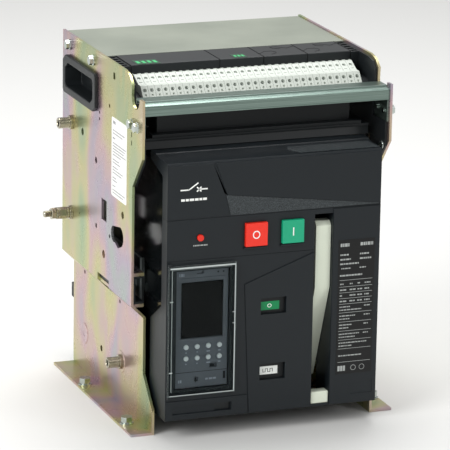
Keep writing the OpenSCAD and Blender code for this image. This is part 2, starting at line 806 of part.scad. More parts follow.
module release_coils() {
  color("#6b2f2a") for (i = [0:2]) {
    x = mech_l + 8 + i * 26;
    block([x, x + 20], [mech_back - 42, mech_back - 16], [mech_top - 26, mech_top - 12]);
    rod_y(x + 10, [mech_back - 52, mech_back - 42], mech_top - 19, 2.5);
  }
  color("#b7b28a") block([mech_l, mech_r - mech_t], [mech_back - 38, mech_back - 20], [mech_top - 12, mech_top - 10]);
}

// Cam shaft with its ratchet wheel, driven by the handle
module charging_cam() {
  color("#8f9596") {
    rod_x([mech_l - 5, mech_r + 2], cam_y, cam_z, 6);
    difference() {
      rod_x([28, 34], cam_y, cam_z, 20);
      for (i = [0:17]) translate([27, cam_y, cam_z]) rotate([i * 20, 0, 0])
        translate([0, 18.4, -1.4]) cube([8, 4, 2.8]);
    }
    plate_x([-2, 10]) {
      translate([cam_y, cam_z]) circle(r = 12);
      translate([cam_y - 6, cam_z + 6]) circle(r = 11);
    }
  }
}

// Spring-return charging handle: a cream lever, flush at the top and deep at its pivot
module charging_handle() {
  elbow = 170;
  toe = 18;
  color("#cdd5c5") difference() {
    union() {
      plate_x([handle_x, handle_x + handle_w]) polygon([
        [handle_face, elbow], [handle_face, handle_top - 5], [handle_face + 5, handle_top],
        [handle_face + 15, handle_top], [handle_face + 18, elbow - 4], [handle_y + 12, handle_z + 30],
        [handle_y + 12, handle_z], [handle_y + 4, handle_z - toe], [handle_y - 14.5, handle_z - toe]
      ]);
      rod_x([handle_x, handle_x + handle_w], handle_y, handle_z, 12);
    }
    rod_x([handle_x - 1, handle_x + handle_w + 1], handle_y, handle_z, 5 + fit);
  }
}

// ---- Contact drive ----

// Main shaft, with a forked lever and its pin at each pole
module main_shaft() {
  fork = link_t / 2 + 0.5;
  color("#999fa0") {
    rod_x([-housing_w, housing_w], shaft_y, shaft_z, shaft_r);
    at_poles() {
      both_sides() plate_x([-fork - 5, -fork]) lever_shape();
      rod_x([-fork - 5, fork + 5], lever_tip[0], lever_tip[1], pin_r);
    }
  }
}
module lever_shape() {
  translate([shaft_y, shaft_z]) rotate(lever_tilt) {
    circle(r = shaft_r + 3);
    translate([-5, 0]) square([10, lever_len]);
    translate([0, lever_len]) circle(r = 5.5);
  }
}

// Insulating links between the levers and the contact arms
module drive_links() {
  reach = arm_tip - lever_tip;
  color("#d8c79a") at_poles() plate_x([-link_t / 2, link_t / 2])
    translate(lever_tip) rotate(atan2(reach[1], reach[0])) difference() {
      union() {
        translate([0, -4.5]) square([norm(reach), 9]);
        circle(r = 6);
        translate([norm(reach), 0]) circle(r = pin_r + link_slack + 3);
      }
      circle(r = pin_r + fit);
      translate([norm(reach), 0]) circle(r = pin_r + link_slack);
    }
}

// Contact arms with silvered tips, shown open
module moving_contacts() {
  slit = link_t / 2 + 1;
  color("#c8744a") at_poles() translate([0, pivot_y, pivot_z]) rotate([arm_open, 0, 0]) {
    difference() {
      union() {
        block([-arm_w / 2, arm_w / 2], [-8, 8], [0, arm_len]);
        rod_x([-arm_w / 2, arm_w / 2], 0, 0, 8);
        block([-arm_w / 2 + 2, arm_w / 2 - 2], [8, 16 - gap], [arm_len - 20, arm_len - 2]);
      }
      rod_x([-arm_w, arm_w], 0, 0, 4 + fit);
      block([-slit, slit], [-9, 9], [arm_hole - 17, arm_hole + 17]);
    }
    rod_x([-arm_w / 2 + 1, arm_w / 2 - 1], 0, arm_hole, pin_r);
  }
}

// ---- Covers and controls ----
module upper_cover() {
  rise = 1.4;
  color("#2b3133") {
    difference() {
      plate_x([-half_w, half_w]) polygon([
        [face_y, split_z + 0.3], [face_y, cover_top - 2], [face_y + 2, cover_top],
        [face_y + 22, cover_top + 1], [face_y + 24, cover_top], [face_y + 40, cover_top + 1.6],
        [face_y + 42, cover_top + 3], [roof_y, roof_z], [roof_y, roof_z - 10],
        [side_back, 318], [side_back, split_z + 0.3]
      ]);
      plate_x([-half_w + wall, half_w - wall]) polygon([
        [face_y + wall, split_z - 1], [face_y + wall, cover_top - wall], [roof_y - wall, cover_top - wall],
        [roof_y - wall, cover_top - 14], [roof_y + 1, cover_top - 14], [side_back + 1, 300],
        [side_back + 1, split_z - 1]
      ]);
    }
    plate_y([face_y - rise, face_y]) polygon([
      [-75, cover_top - 2.5], [-60, 294.5], [half_w - 1.5, 270.5], [half_w - 1.5, cover_top - 2.5]
    ]);
    plate_y([face_y - rise / 2, face_y]) polygon([
      [-half_w + 1.5, cover_top - 2.5], [-half_w + 1.5, 270], [-57, 270], [-63, 294], [-78.5, cover_top - 2.5]
    ]);
  }
}

// Outline of the front cover's side walls on Y and Z
module cover_side() {
  polygon([
    [face_y, cover_z], [low_back, cover_z], [low_back, 137], [side_back, 161],
    [side_back, split_z], [face_y, split_z]
  ]);
}
module front_cover() {
  rise = 1.2;
  slot = [slot_x, slot_x + slot_w];
  panel = [[-36.7, 184], [slot_x - 0.5, 216], [slot_x - 0.5, cover_z + 1], [-29, cover_z + 1]];
  color("#2b3133") difference() {
    union() {
      difference() {
        plate_x([-half_w, half_w]) cover_side();
        block([-half_w + wall, half_w - wall], [cover_in, low_back + 1], [cover_z + wall, split_z + 1]);
      }
      plate_y([face_y - rise, face_y]) polygon(panel);
      block([slot[1] + 0.5, half_w - 1], [face_y - rise, face_y], [cover_z + 1, split_z - 1]);
      for (x = [slot[0] - 1.8, slot[1]]) block([x, x + 1.8], [cover_in, cover_in + 38], [cover_z + wall, handle_top + 11]);
      block([-half_w + 0.5, -31], [face_y - rise, face_y], [cover_z + 1, strip_top]);
      for (z = [door_z - 3, door_z + door_h + gap])
        block([hinge_x - 1.5, hinge_x + 2.5], [hinge_y - 2, face_y], [z, z + 3 - gap]);
      for (z = [status_z, charge_z], x = [-window_w / 2 - 3.5, window_w / 2])
        block([x, x + 2.5], [cover_in, cover_in + 3], [z - window_h / 2, z + window_h / 2]);
      for (z = [socket_z[0] - 4.5, socket_z[1] + 2])
        block([-105, -45], [cover_in, cover_in + 2.5], [z, z + 2.5]);
    }
    for (z = [door_z, door_z + door_h]) rod_z(hinge_x, hinge_y, [z - 4, z + 4], hinge_r + fit);
    front_openings(slot);
  }
}
module front_openings(slot) {
  y = [face_y - 5, cover_in + 1];
  block([trip_x, trip_x + trip_w], y, [trip_z, trip_z + trip_h]);
  for (x = [off_x, on_x])
    block([x - button_w / 2 - gap, x + button_w / 2 + gap], y,
          [button_z - button_h / 2 - gap, button_z + button_h / 2 + gap]);
  rod_y(reset_x, y, button_z + 0.8, reset_r + gap);
  block(slot, y, [cover_z + wall, handle_top + 11]);
  for (z = [status_z, charge_z])
    block([-window_w / 2, window_w / 2], y, [z - window_h / 2, z + window_h / 2]);
  block([-125, -51], [face_y - 5, face_y + 0.8], socket_z);
  block([screw_x - 10, screw_x + 10], y, socket_z);
  block([100, 128.5], [face_y - 1.8, face_y - 0.6], [35.6, 51]);
  block([-half_w - 1, slot[0] - 1], [face_y - 5, face_y + 0.6], [218.6, 219.4]);
}

module slot_block() {
  color("#cdd5c5") block([slot_x + 0.2, slot_x + slot_w - 0.2], [face_y + 1, face_y + 14], [cover_z + wall, 41.8]);
}

// Trip unit: body, face with key holes, display and the small port
module trip_unit() {
  z1 = trip_z + trip_h;
  color("#4a4b54") difference() {
    block([trip_x + 0.2, trip_x + trip_w - 0.2], [trip_face, trip_face + trip_depth], [trip_z + 0.2, z1 - 0.2]);
    block([trip_x + 6, trip_x + trip_w - 6.5], [trip_face - 1, trip_face + 1.5], [122.5, 191.5]);
    for (k = [0:7]) rod_y(key_x + (k % 4) * key_pitch, [trip_face - 1, trip_face + 12],
                          key_z + (1 - floor(k / 4)) * key_pitch, key_d / 2 + gap);
    block([-78, -69], [trip_face - 1, trip_face + 3], [85, 90]);
    block([-97, -92], [trip_face - 1, trip_face + 2], [70, 74]);
    block([-95, -87], [trip_face - 1, trip_face + 2], [201, 206]);
  }
}
module trip_key(k) {
  x = key_x + ((k - 1) % 4) * key_pitch;
  z = key_z + (1 - floor((k - 1) / 4)) * key_pitch;
  color("#c9cccf") rod_y(x, [trip_face - 1.2, trip_face + 10], z, key_d / 2);
}

// Clear door over the trip unit, hinged at its left edge
module trip_door() {
  frame = 5;
  y0 = face_y - door_t;
  color("#dfe6e6", 0.4) {
    difference() {
      block([door_x, door_x + door_w], [y0, face_y - gap], [door_z, door_z + door_h]);
      block([door_x + frame, door_x + door_w - frame], [y0 + 1.6, face_y], [door_z + frame, door_z + door_h - frame]);
    }
    rod_z(hinge_x, hinge_y, [door_z - 3, door_z + door_h + 3], hinge_r);
  }
}

// Pushbuttons: caps through the cover, stems behind
module panel_button(x) {
  block([x - button_w / 2, x + button_w / 2], [face_y - 4.5, face_y + 8], [button_z - button_h / 2, button_z + button_h / 2]);
  rod_y(x, [face_y + 8, face_y + 26], button_z, 4);
}
module off_button() {
  color("#ff4a36") panel_button(off_x);
}
module on_button() {
  color("#2cb488") panel_button(on_x);
}
module reset_button() {
  color("#e0301f") {
    rod_y(reset_x, [face_y - 2.5, face_y + 5], button_z + 0.8, reset_r);
    rod_y(reset_x, [face_y + 5, face_y + 6.5], button_z + 0.8, reset_r + 2);
  }
}

// Indicator flags behind the two windows: two fields, one above the other
module flag(z) {
  block([-window_w / 2 - 0.8, window_w / 2 - 0.2], [cover_in + 0.4, cover_in + 2.4],
        [z - window_h / 2 - flag_travel - 1, z + window_h / 2 + 1]);
}
module status_flag() {
  color("#2a9a62") flag(status_z);
}

// The charge flag is one piece with the seat that carries the closing spring
module charge_flag() {
  color("#e8ebe8") {
    flag(charge_z);
    block([-window_w / 2 - 0.8, spring_x + spring_r + 2], [cover_in + 2.4, spring_y - 12],
          [spring_low - 4, spring_low]);
    difference() {
      block([spring_x - 12, spring_x + 12], [spring_y - 12, spring_y + 12], [spring_low - 4, spring_low]);
      rod_z(spring_x, spring_y, [spring_low - 5, spring_low + 1], guide_r + fit);
    }
  }
}

// Sliding shutter behind the racking socket
module racking_shutter() {
  color("#24292b") block([screw_x - 12, screw_x + 12], [cover_in + gap, cover_in + gap + 1.5],
                         [socket_z[0] - 1.5, socket_z[1] + 1.5]);
}

left_side_plate();
right_side_plate();
top_cover();
base_plate();
rear_base();
rear_terminals();
cross_rail();
side_bolts();
foot_bolts();
grip_cups();
earth_stud();
interlock_bushings();
terminal_carrier();
terminal_strip();
aux_modules();
secondary_socket();
left_rail();
right_rail();
upper_shutter();
lower_shutter();
rear_housing();
front_housing();
arc_chutes();
splitter_plates();
arc_shroud();
upper_contacts();
lower_contacts();
contact_clusters();
current_transformers();
carriage();
racking_screw();
secondary_plug();
mechanism_frame();
closing_spring();
charging_motor();
release_coils();
upper_cover();
front_cover();
slot_block();
trip_unit();
trip_key(1);  // trip_key_1
trip_key(2);  // trip_key_2
trip_key(3);  // trip_key_3
trip_key(4);  // trip_key_4
trip_key(5);  // trip_key_5
trip_key(6);  // trip_key_6
trip_key(7);  // trip_key_7
trip_key(8);  // trip_key_8
trip_door();
reset_button();
off_button();
on_button();
charging_handle();
charging_cam();
status_flag();
charge_flag();
main_shaft();
drive_links();
moving_contacts();
racking_shutter();
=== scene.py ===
import json
import math
import random

import bmesh
import bpy
from mathutils import Matrix, Vector


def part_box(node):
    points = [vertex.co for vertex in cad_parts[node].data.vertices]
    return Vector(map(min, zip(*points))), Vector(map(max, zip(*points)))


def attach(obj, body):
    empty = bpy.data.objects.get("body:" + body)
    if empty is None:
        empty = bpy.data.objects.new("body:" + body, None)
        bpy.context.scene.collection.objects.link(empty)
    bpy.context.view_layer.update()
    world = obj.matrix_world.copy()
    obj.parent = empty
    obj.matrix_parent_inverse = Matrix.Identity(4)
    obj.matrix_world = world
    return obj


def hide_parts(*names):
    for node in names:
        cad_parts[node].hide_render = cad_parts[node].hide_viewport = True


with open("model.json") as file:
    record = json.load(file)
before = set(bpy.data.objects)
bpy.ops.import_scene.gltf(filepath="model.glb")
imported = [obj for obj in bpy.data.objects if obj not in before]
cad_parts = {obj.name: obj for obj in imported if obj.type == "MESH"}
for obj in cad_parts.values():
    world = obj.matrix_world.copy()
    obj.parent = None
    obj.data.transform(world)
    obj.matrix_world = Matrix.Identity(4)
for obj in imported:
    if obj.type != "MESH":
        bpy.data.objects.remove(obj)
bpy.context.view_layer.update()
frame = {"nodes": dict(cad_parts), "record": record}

# ---- The room ----
# A studio table: a pale matt floor and an even pale surround, lit by a wide soft box
# on the left, a fill on the right and a strip above. The camera is a long lens, far away.
# Colours are shown as they are lit, with no film curve.
bpy.context.scene.view_settings.view_transform = "Standard"
MM = 0.001


def linear(code):
    """A hex colour as the eye sees it, turned to linear light."""
    parts = [int(code[i:i + 2], 16) / 255 for i in (1, 3, 5)]
    return [c / 12.92 if c <= 0.04045 else ((c + 0.055) / 1.055) ** 2.4 for c in parts] + [1.0]


def add(tree, kind, settings=(), links=()):
    """One shader node, with its settings by name and its links as (input, source socket)."""
    node = tree.nodes.new(kind)
    for key, value in settings:
        if isinstance(key, str) and hasattr(node, key):
            setattr(node, key, value)
        else:
            node.inputs[key].default_value = value
    for key, source in links:
        tree.links.new(source, node.inputs[key])
    return node


def blank_material(name):
    """A new material and its empty node tree."""
    material = bpy.data.materials.new(name)
    material.use_nodes = True
    material.node_tree.nodes.clear()
    return material, material.node_tree


floor_paper, tree = blank_material("matt_paper")
paper = add(tree, "ShaderNodeBsdfPrincipled", [("Base Color", linear("#dededc")), ("Roughness", 0.9)])
add(tree, "ShaderNodeOutputMaterial", links=[("Surface", paper.outputs["BSDF"])])

bm = bmesh.new()
bmesh.ops.create_grid(bm, x_segments=1, y_segments=1, size=12)
floor_mesh = bpy.data.meshes.new("floor")
bm.to_mesh(floor_mesh)
bm.free()
floor = bpy.data.objects.new("floor", floor_mesh)
floor_mesh.materials.append(floor_paper)
bpy.context.scene.collection.objects.link(floor)

world = bpy.data.worlds.new("white_surround")
world.use_nodes = True
surround = world.node_tree.nodes["Background"]
surround.inputs["Color"].default_value = (1, 1, 1, 1)
surround.inputs["Strength"].default_value = 0.5
bpy.context.scene.world = world

for name, place, width, power in (
    ("soft_box_left", (-2.6, -1.2, 1.9), 1.6, 62),
    ("fill_right", (2.2, -2.6, 1.5), 1.0, 20),
    ("strip_above", (0.2, 0.9, 2.8), 1.8, 70),
):
    lamp = bpy.data.lights.new(name, "AREA")
    lamp.shape = "SQUARE"
    lamp.size = width
    lamp.energy = power
    holder = bpy.data.objects.new(name, lamp)
    holder.location = place
    aim = Vector((0, 0, 0.2)) - holder.location
    holder.rotation_euler = aim.to_track_quat("-Z", "Y").to_euler()
    bpy.context.scene.collection.objects.link(holder)

azimuth, elevation, roll = math.radians(-20.88), math.radians(15.43), math.radians(0.99)
back = Vector((math.sin(azimuth) * math.cos(elevation), -math.cos(azimuth) * math.cos(elevation),
               math.sin(elevation)))
right = Vector((math.cos(azimuth), math.sin(azimuth), 0))
up = back.cross(right)
cam_x = right * math.cos(roll) + up * math.sin(roll)
cam_y = up * math.cos(roll) - right * math.sin(roll)
lens = bpy.data.cameras.new("long_lens")
lens.sensor_width = 36
lens.lens = 274.7
lens.clip_end = 50
tripod = Matrix.Translation((-1.43484, -3.77089, 1.32087))
camera = bpy.data.objects.new("camera", lens)
camera.matrix_world = tripod @ Matrix((cam_x, cam_y, back)).transposed().to_4x4()
bpy.context.scene.collection.objects.link(camera)
bpy.context.scene.camera = camera

# ---- Side plates ----
# Two folded sheets of 3 mm steel, zinc-plated and passivated. The passivation film is a few
# hundred nanometres thick and uneven, so pink, straw and green drift across it in wide clouds.
bodies = frame["record"]["behaviour"]["bodies"]
body_of = {node: body for body, nodes in bodies.items() for node in nodes}


def passivated_zinc(name, shift):
    """Plated sheet under a film whose tint drifts; shift moves the clouds for each sheet."""
    material, tree = blank_material(name)
    where = add(tree, "ShaderNodeTexCoord").outputs["Object"]
    placed = add(tree, "ShaderNodeMapping",
                 [("Location", (shift, shift * 0.7, 0.4)), ("Scale", (1, 1.5, 0.55))],
                 [("Vector", where)]).outputs["Vector"]
    cloud = add(tree, "ShaderNodeTexNoise", [("Scale", 8.0), ("Detail", 2.0), ("Roughness", 0.5),
                                             ("Distortion", 0.5)], [("Vector", placed)])
    film = add(tree, "ShaderNodeValToRGB", links=[("Fac", cloud.outputs["Fac"])])
    film.color_ramp.elements[0].position = 0.30
    film.color_ramp.elements[0].color = linear("#98ae86")
    film.color_ramp.elements[1].position = 0.74
    film.color_ramp.elements[1].color = linear("#9fb2a6")
    for place, colour in ((0.38, "#abb584"), (0.45, "#c0b981"), (0.51, "#c3b392"), (0.57, "#c2a3a5"),
                          (0.64, "#ad9fb0")):
        film.color_ramp.elements.new(place).color = linear(colour)
    grain = add(tree, "ShaderNodeTexNoise", [("Scale", 900.0), ("Detail", 2.0)], [("Vector", where)])
    haze = add(tree, "ShaderNodeTexNoise", [("Scale", 16.0), ("Detail", 4.0), ("Roughness", 0.6)],
               [("Vector", where)])
    silver = add(tree, "ShaderNodeMix", [("data_type", "RGBA"), (7, linear("#b6b9a8"))],
                 [(0, add(tree, "ShaderNodeMapRange", [("From Min", 0.45), ("From Max", 0.75),
                                                       ("To Min", 0.0), ("To Max", 0.4)],
                          [("Value", haze.outputs["Fac"])]).outputs["Result"]),
                  (6, film.outputs["Color"])])
    rough = add(tree, "ShaderNodeMapRange", [("To Min", 0.2), ("To Max", 0.36)],
                [("Value", haze.outputs["Fac"])])
    bump = add(tree, "ShaderNodeBump", [("Strength", 0.12), ("Distance", 0.06 * MM)],
               [("Height", grain.outputs["Fac"])])
    metal = add(tree, "ShaderNodeBsdfPrincipled", [("Metallic", 0.82)],
                [("Base Color", silver.outputs[2]), ("Roughness", rough.outputs["Result"]),
                 ("Normal", bump.outputs["Normal"])])
    add(tree, "ShaderNodeOutputMaterial", links=[("Surface", metal.outputs["BSDF"])])
    return material


# Faces that meet at a smaller angle than this belong to one curved surface.
curved = math.radians(32)


def finished(piece, material, body, edge=0.0, steps=2):
    """Gives a new piece its material, rounded edges and smooth shading, and its body."""
    piece.data.materials.clear()
    piece.data.materials.append(material)
    piece.data.shade_smooth()
    if edge:
        rounding = piece.modifiers.new("edges", "BEVEL")
        rounding.width = edge * MM
        rounding.segments = steps
        rounding.limit_method = "ANGLE"
        rounding.angle_limit = curved
        flats = piece.modifiers.new("flat faces", "WEIGHTED_NORMAL")
        flats.weight = 80
    else:
        piece.data.set_sharp_from_angle(angle=curved)
    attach(piece, body)
    return piece


def softened(node, material, edge, steps=2):
    """A copy of a CAD node with its triangles merged to faces, so that its edges can be rounded."""
    bm = bmesh.new()
    bm.from_mesh(frame["nodes"][node].data)
    bmesh.ops.remove_doubles(bm, verts=bm.verts, dist=1e-6)
    bmesh.ops.dissolve_limit(bm, angle_limit=math.radians(0.6), verts=bm.verts, edges=bm.edges)
    mesh = bpy.data.meshes.new(node + "_shell")
    bm.to_mesh(mesh)
    bm.free()
    piece = bpy.data.objects.new(mesh.name, mesh)
    bpy.context.scene.collection.objects.link(piece)
    finished(piece, material, body_of[node], edge, steps)
    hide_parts(node)


zinc_left = passivated_zinc("iridescent_zinc_left", 0.0)
zinc_right = passivated_zinc("iridescent_zinc_right", 3.0)
softened("left_side_plate", zinc_left, 0.35)
softened("right_side_plate", zinc_right, 0.35)


# ---- Pressed rings on the left plate ----
# Shallow discs embossed in the sheet round the lower bushing and a locating hole.
# They are the same plated steel as the plate, and stand less than a millimetre proud.
def drawn(bm, name, material, body, edge=0.0, steps=2):
    """Turns a bmesh into a piece at the origin."""
    mesh = bpy.data.meshes.new(name)
    bm.to_mesh(mesh)
    bm.free()
    piece = bpy.data.objects.new(name, mesh)
    bpy.context.scene.collection.objects.link(piece)
    return finished(piece, material, body, edge, steps)


def put_turned(bm, profile, centre, axis, steps=40):
    """A turned shape: (along, radius) points in millimetres, spun round an axis through centre."""
    axis, centre = Vector(axis), Vector(centre) * MM
    side = Vector((0, 0, 1)) if abs(axis.z) < 0.5 else Vector((1, 0, 0))
    made = [bm.verts.new(centre + axis * a * MM + side * r * MM) for a, r in profile]
    edges = [bm.edges.new(pair) for pair in zip(made, made[1:])]
    bmesh.ops.spin(bm, geom=made + edges, cent=centre, axis=axis, dvec=(0, 0, 0),
                   angle=math.tau, steps=steps, use_merge=True)
    bmesh.ops.remove_doubles(bm, verts=bm.verts, dist=2e-6)
    bmesh.ops.recalc_face_normals(bm, faces=bm.faces)


plate_t = 3.0
lower_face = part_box("left_side_plate")[1].x / MM - plate_t
bm = bmesh.new()
for y, z, radius, hole in ((-35, 57, 14.5, 8), (104.5, 51.7, 14, 3.2)):
    put_turned(bm, [(-0.4, radius), (0.5, radius - 0.9), (0.7, radius - 2), (0.35, radius - 4),
                    (0.3, hole + 1), (-0.4, hole)], (lower_face, y, z), (-1, 0, 0), 48)
drawn(bm, "pressed_rings", zinc_left, "cradle")

# ---- Top cover ----
# A folded tray of plain galvanised sheet: greyer and flatter than the side plates, with the
# faint grain that rolling leaves along its length.
galvanised, tree = blank_material("galvanised_sheet")
where = add(tree, "ShaderNodeTexCoord").outputs["Object"]
rolled = add(tree, "ShaderNodeMapping", [("Scale", (30, 420, 420))], [("Vector", where)])
streak = add(tree, "ShaderNodeTexNoise", [("Scale", 1.0), ("Detail", 3.0)],
             [("Vector", rolled.outputs["Vector"])])
bloom = add(tree, "ShaderNodeTexNoise", [("Scale", 9.0), ("Detail", 3.0)], [("Vector", where)])
tone = add(tree, "ShaderNodeValToRGB", links=[("Fac", bloom.outputs["Fac"])])
tone.color_ramp.elements[0].position = 0.3
tone.color_ramp.elements[0].color = linear("#858b80")
tone.color_ramp.elements[1].position = 0.7
tone.color_ramp.elements[1].color = linear("#999e92")
ripple = add(tree, "ShaderNodeBump", [("Strength", 0.15), ("Distance", 0.08 * MM)],
             [("Height", streak.outputs["Fac"])])
sheet = add(tree, "ShaderNodeBsdfPrincipled", [("Metallic", 0.55), ("Roughness", 0.5)],
            [("Base Color", tone.outputs["Color"]), ("Normal", ripple.outputs["Normal"])])
add(tree, "ShaderNodeOutputMaterial", links=[("Surface", sheet.outputs["BSDF"])])
softened("top_cover", galvanised, 0.8, 3)

# ---- Cross rail ----
# A folded channel of bright passivated steel, rolled lengthwise, bluer than the plates.
# Long scratches and rolling lines run along it and catch the light.
rail_steel, tree = blank_material("rolled_bright_steel")
where = add(tree, "ShaderNodeTexCoord").outputs["Object"]
rolled = add(tree, "ShaderNodeMapping", [("Scale", (5, 900, 900))], [("Vector", where)])
streak = add(tree, "ShaderNodeTexNoise", [("Scale", 1.0), ("Detail", 4.0), ("Roughness", 0.65)],
             [("Vector", rolled.outputs["Vector"])])
tone = add(tree, "ShaderNodeValToRGB", links=[("Fac", streak.outputs["Fac"])])
tone.color_ramp.elements[0].position = 0.3
tone.color_ramp.elements[0].color = linear("#5d7069")
tone.color_ramp.elements[1].position = 0.75
tone.color_ramp.elements[1].color = linear("#94a59d")
ripple = add(tree, "ShaderNodeBump", [("Strength", 0.25), ("Distance", 0.1 * MM)],
             [("Height", streak.outputs["Fac"])])
steel = add(tree, "ShaderNodeBsdfPrincipled", [("Metallic", 0.9), ("Roughness", 0.3)],
            [("Base Color", tone.outputs["Color"]), ("Normal", ripple.outputs["Normal"])])
add(tree, "ShaderNodeOutputMaterial", links=[("Surface", steel.outputs["BSDF"])])
softened("cross_rail", rail_steel, 0.6, 3)


# ---- Screws ----
# Zinc-plated hexagon screws with washers, cold-headed and bright, slightly hazed by handling.
def plain_metal(name, colour, roughness, metallic=1.0, haze=0.08, spot=60.0):
    """A metal of one colour whose tone and polish drift in soft patches."""
    material, tree = blank_material(name)
    where = add(tree, "ShaderNodeTexCoord").outputs["Object"]
    patch = add(tree, "ShaderNodeTexNoise", [("Scale", spot), ("Detail", 3.0)], [("Vector", where)])
    rough = add(tree, "ShaderNodeMapRange", [("To Min", roughness - haze), ("To Max", roughness + haze)],
                [("Value", patch.outputs["Fac"])])
    light = add(tree, "ShaderNodeHueSaturation", [("Color", linear(colour))],
                [("Value", add(tree, "ShaderNodeMapRange", [("To Min", 0.82), ("To Max", 1.15)],
                               [("Value", patch.outputs["Fac"])]).outputs["Result"])])
    metal = add(tree, "ShaderNodeBsdfPrincipled", [("Metallic", metallic)],
                [("Base Color", light.outputs["Color"]), ("Roughness", rough.outputs["Result"])])
    add(tree, "ShaderNodeOutputMaterial", links=[("Surface", metal.outputs["BSDF"])])
    return material


screw_zinc = plain_metal("bright_zinc_screws", "#c3cbc6", 0.17)
softened("side_bolts", screw_zinc, 0.5, 2)
softened("foot_bolts", screw_zinc, 0.5, 2)

# ---- Earthing stud ----
# An M8 stud of warm grey plated steel with two nuts, three plain washers and a spring washer.
# Its rolled thread has a pitch of 1.25 mm and is drawn as rings.
stud_metal = plain_metal("nickel_grey_stud", "#b3ae9c", 0.2)
stud_low, stud_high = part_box("earth_stud")
stud_y = (stud_low.y + stud_high.y) / 2 / MM
stud_z = (stud_low.z + stud_high.z) / 2 / MM
joggle = 15.5
upper_face = lower_face - joggle
tip = -stud_low.x / MM + upper_face
thread = [(tip, 0.01), (tip, 3.2), (tip - 0.8, 3.9)]
thread_pitch, crest, root = 1.25, 4.0, 3.45
along = tip - 0.8
while along > 1:
    thread += [(along - 0.45, crest), (along - 0.85, root), (along - thread_pitch, crest)]
    along -= thread_pitch
thread += [(0.2, crest), (0.2, 0.01)]
bm = bmesh.new()
put_turned(bm, thread, (upper_face, stud_y, stud_z), (-1, 0, 0), 28)
stud = drawn(bm, "earth_stud_thread", stud_metal, "cradle")
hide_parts("earth_stud")


def put_nut(bm, start, length, flats, centre, turn=0.0):
    """A hexagon nut along -X; its edges are rounded when it is drawn."""
    across = flats / math.sqrt(3)
    middle = Vector((centre[0] - start - length / 2, centre[1], centre[2])) * MM
    spin = Matrix.Rotation(math.radians(90), 4, "Y") @ Matrix.Rotation(turn, 4, "Z")
    bmesh.ops.create_cone(bm, cap_ends=True, segments=6, radius1=across * MM, radius2=across * MM,
                          depth=length * MM, matrix=Matrix.Translation(middle) @ spin)


bm = bmesh.new()
for start, length, turn in ((7, 11, 0.25), (20.5, 6.5, 0.6)):
    put_nut(bm, start, length, 13, (upper_face, stud_y, stud_z), turn)
drawn(bm, "earth_stud_nuts", stud_metal, "cradle", 0.7, 3)
bm = bmesh.new()
for start, length, radius in ((0.02, 2.0, 8.5), (2.1, 1.8, 8.4), (4.1, 2.8, 7), (18.1, 2.3, 7.4)):
    put_turned(bm, [(start, 3.8), (start, radius - 0.3), (start + 0.3, radius),
                    (start + length - 0.3, radius), (start + length, radius - 0.3), (start + length, 3.8)],
               (upper_face, stud_y, stud_z), (-1, 0, 0), 40)
drawn(bm, "earth_stud_washers", stud_metal, "cradle")

# ---- Interlock bushings ----
# Turned and threaded tubes that guide the interlock cables through the left plate. They are
# plated like the stud, and their chamfered mouths catch the light.
bm = bmesh.new()
for seat, y, z in ((upper_face, 112, 321), (lower_face, -35, 57)):
    wall = [(0.02, 3.8), (17.2, 3.8), (18, 4.5), (18, 6.0), (17.4, 6.7)]
    along = 17.2
    while along > 5.2:
        wall += [(along - 0.5, 6.8), (along - 0.95, 6.25), (along - 1.5, 6.8)]
        along -= 1.5
    wall += [(4.2, 6.8), (4.0, 8.5), (3.7, 8.8), (0.4, 8.8), (0.02, 8.5), (0.02, 3.8)]
    put_turned(bm, wall, (seat, y, z), (-1, 0, 0), 36)
bushes = drawn(bm, "threaded_bushings", stud_metal, "cradle")
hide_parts("interlock_bushings")


# ---- Black mouldings ----
# Glass-filled thermoset and nylon, moulded in steel tools with a spark-eroded surface:
# a fine even grain, about 0.3 mm from bump to bump, that breaks up the highlights.
def moulded(name, colour, roughness, grain=0.35, depth=0.05, drift=0.12, coat=0.0):
    """A plastic or a print; grain and depth are its bumps' spacing and height in millimetres."""
    material, tree = blank_material(name)
    where = add(tree, "ShaderNodeTexCoord").outputs["Object"]
    spark = add(tree, "ShaderNodeTexNoise", [("Scale", 1 / (grain * 2.4 * MM)), ("Detail", 2.0)],
                [("Vector", where)])
    flow = add(tree, "ShaderNodeTexNoise", [("Scale", 14.0), ("Detail", 3.0)], [("Vector", where)])
    shade = add(tree, "ShaderNodeHueSaturation", [("Color", linear(colour))],
                [("Value", add(tree, "ShaderNodeMapRange", [("To Min", 1 - drift), ("To Max", 1 + drift)],
                               [("Value", flow.outputs["Fac"])]).outputs["Result"])])
    rough = add(tree, "ShaderNodeMapRange", [("To Min", roughness - 0.06), ("To Max", roughness + 0.08)],
                [("Value", flow.outputs["Fac"])])
    bump = add(tree, "ShaderNodeBump", [("Strength", 0.5), ("Distance", depth * MM)],
               [("Height", spark.outputs["Fac"])])
    plastic = add(tree, "ShaderNodeBsdfPrincipled",
                  [("IOR", 1.38), ("Coat Weight", coat), ("Coat Roughness", 0.12)],
                  [("Base Color", shade.outputs["Color"]), ("Roughness", rough.outputs["Result"]),
                   ("Normal", bump.outputs["Normal"])])
    add(tree, "ShaderNodeOutputMaterial", links=[("Surface", plastic.outputs["BSDF"])])
    return material


thermoset = moulded("black_thermoset", "#15191b", 0.42)
nylon_black = moulded("black_nylon", "#1c2022", 0.38)
cheek_black = moulded("black_gloss_moulding", "#0c0f10", 0.12, 0.5, 0.005)
softened("rear_base", thermoset, 0.8)
softened("front_housing", cheek_black, 0.5)
softened("rear_housing", thermoset, 0.5)
softened("arc_shroud", nylon_black, 0.5)
softened("grip_cups", nylon_black, 1.2, 3)
softened("terminal_carrier", nylon_black, 0.5)
softened("secondary_socket", thermoset, 0.5)
softened("secondary_plug", thermoset, 0.5)

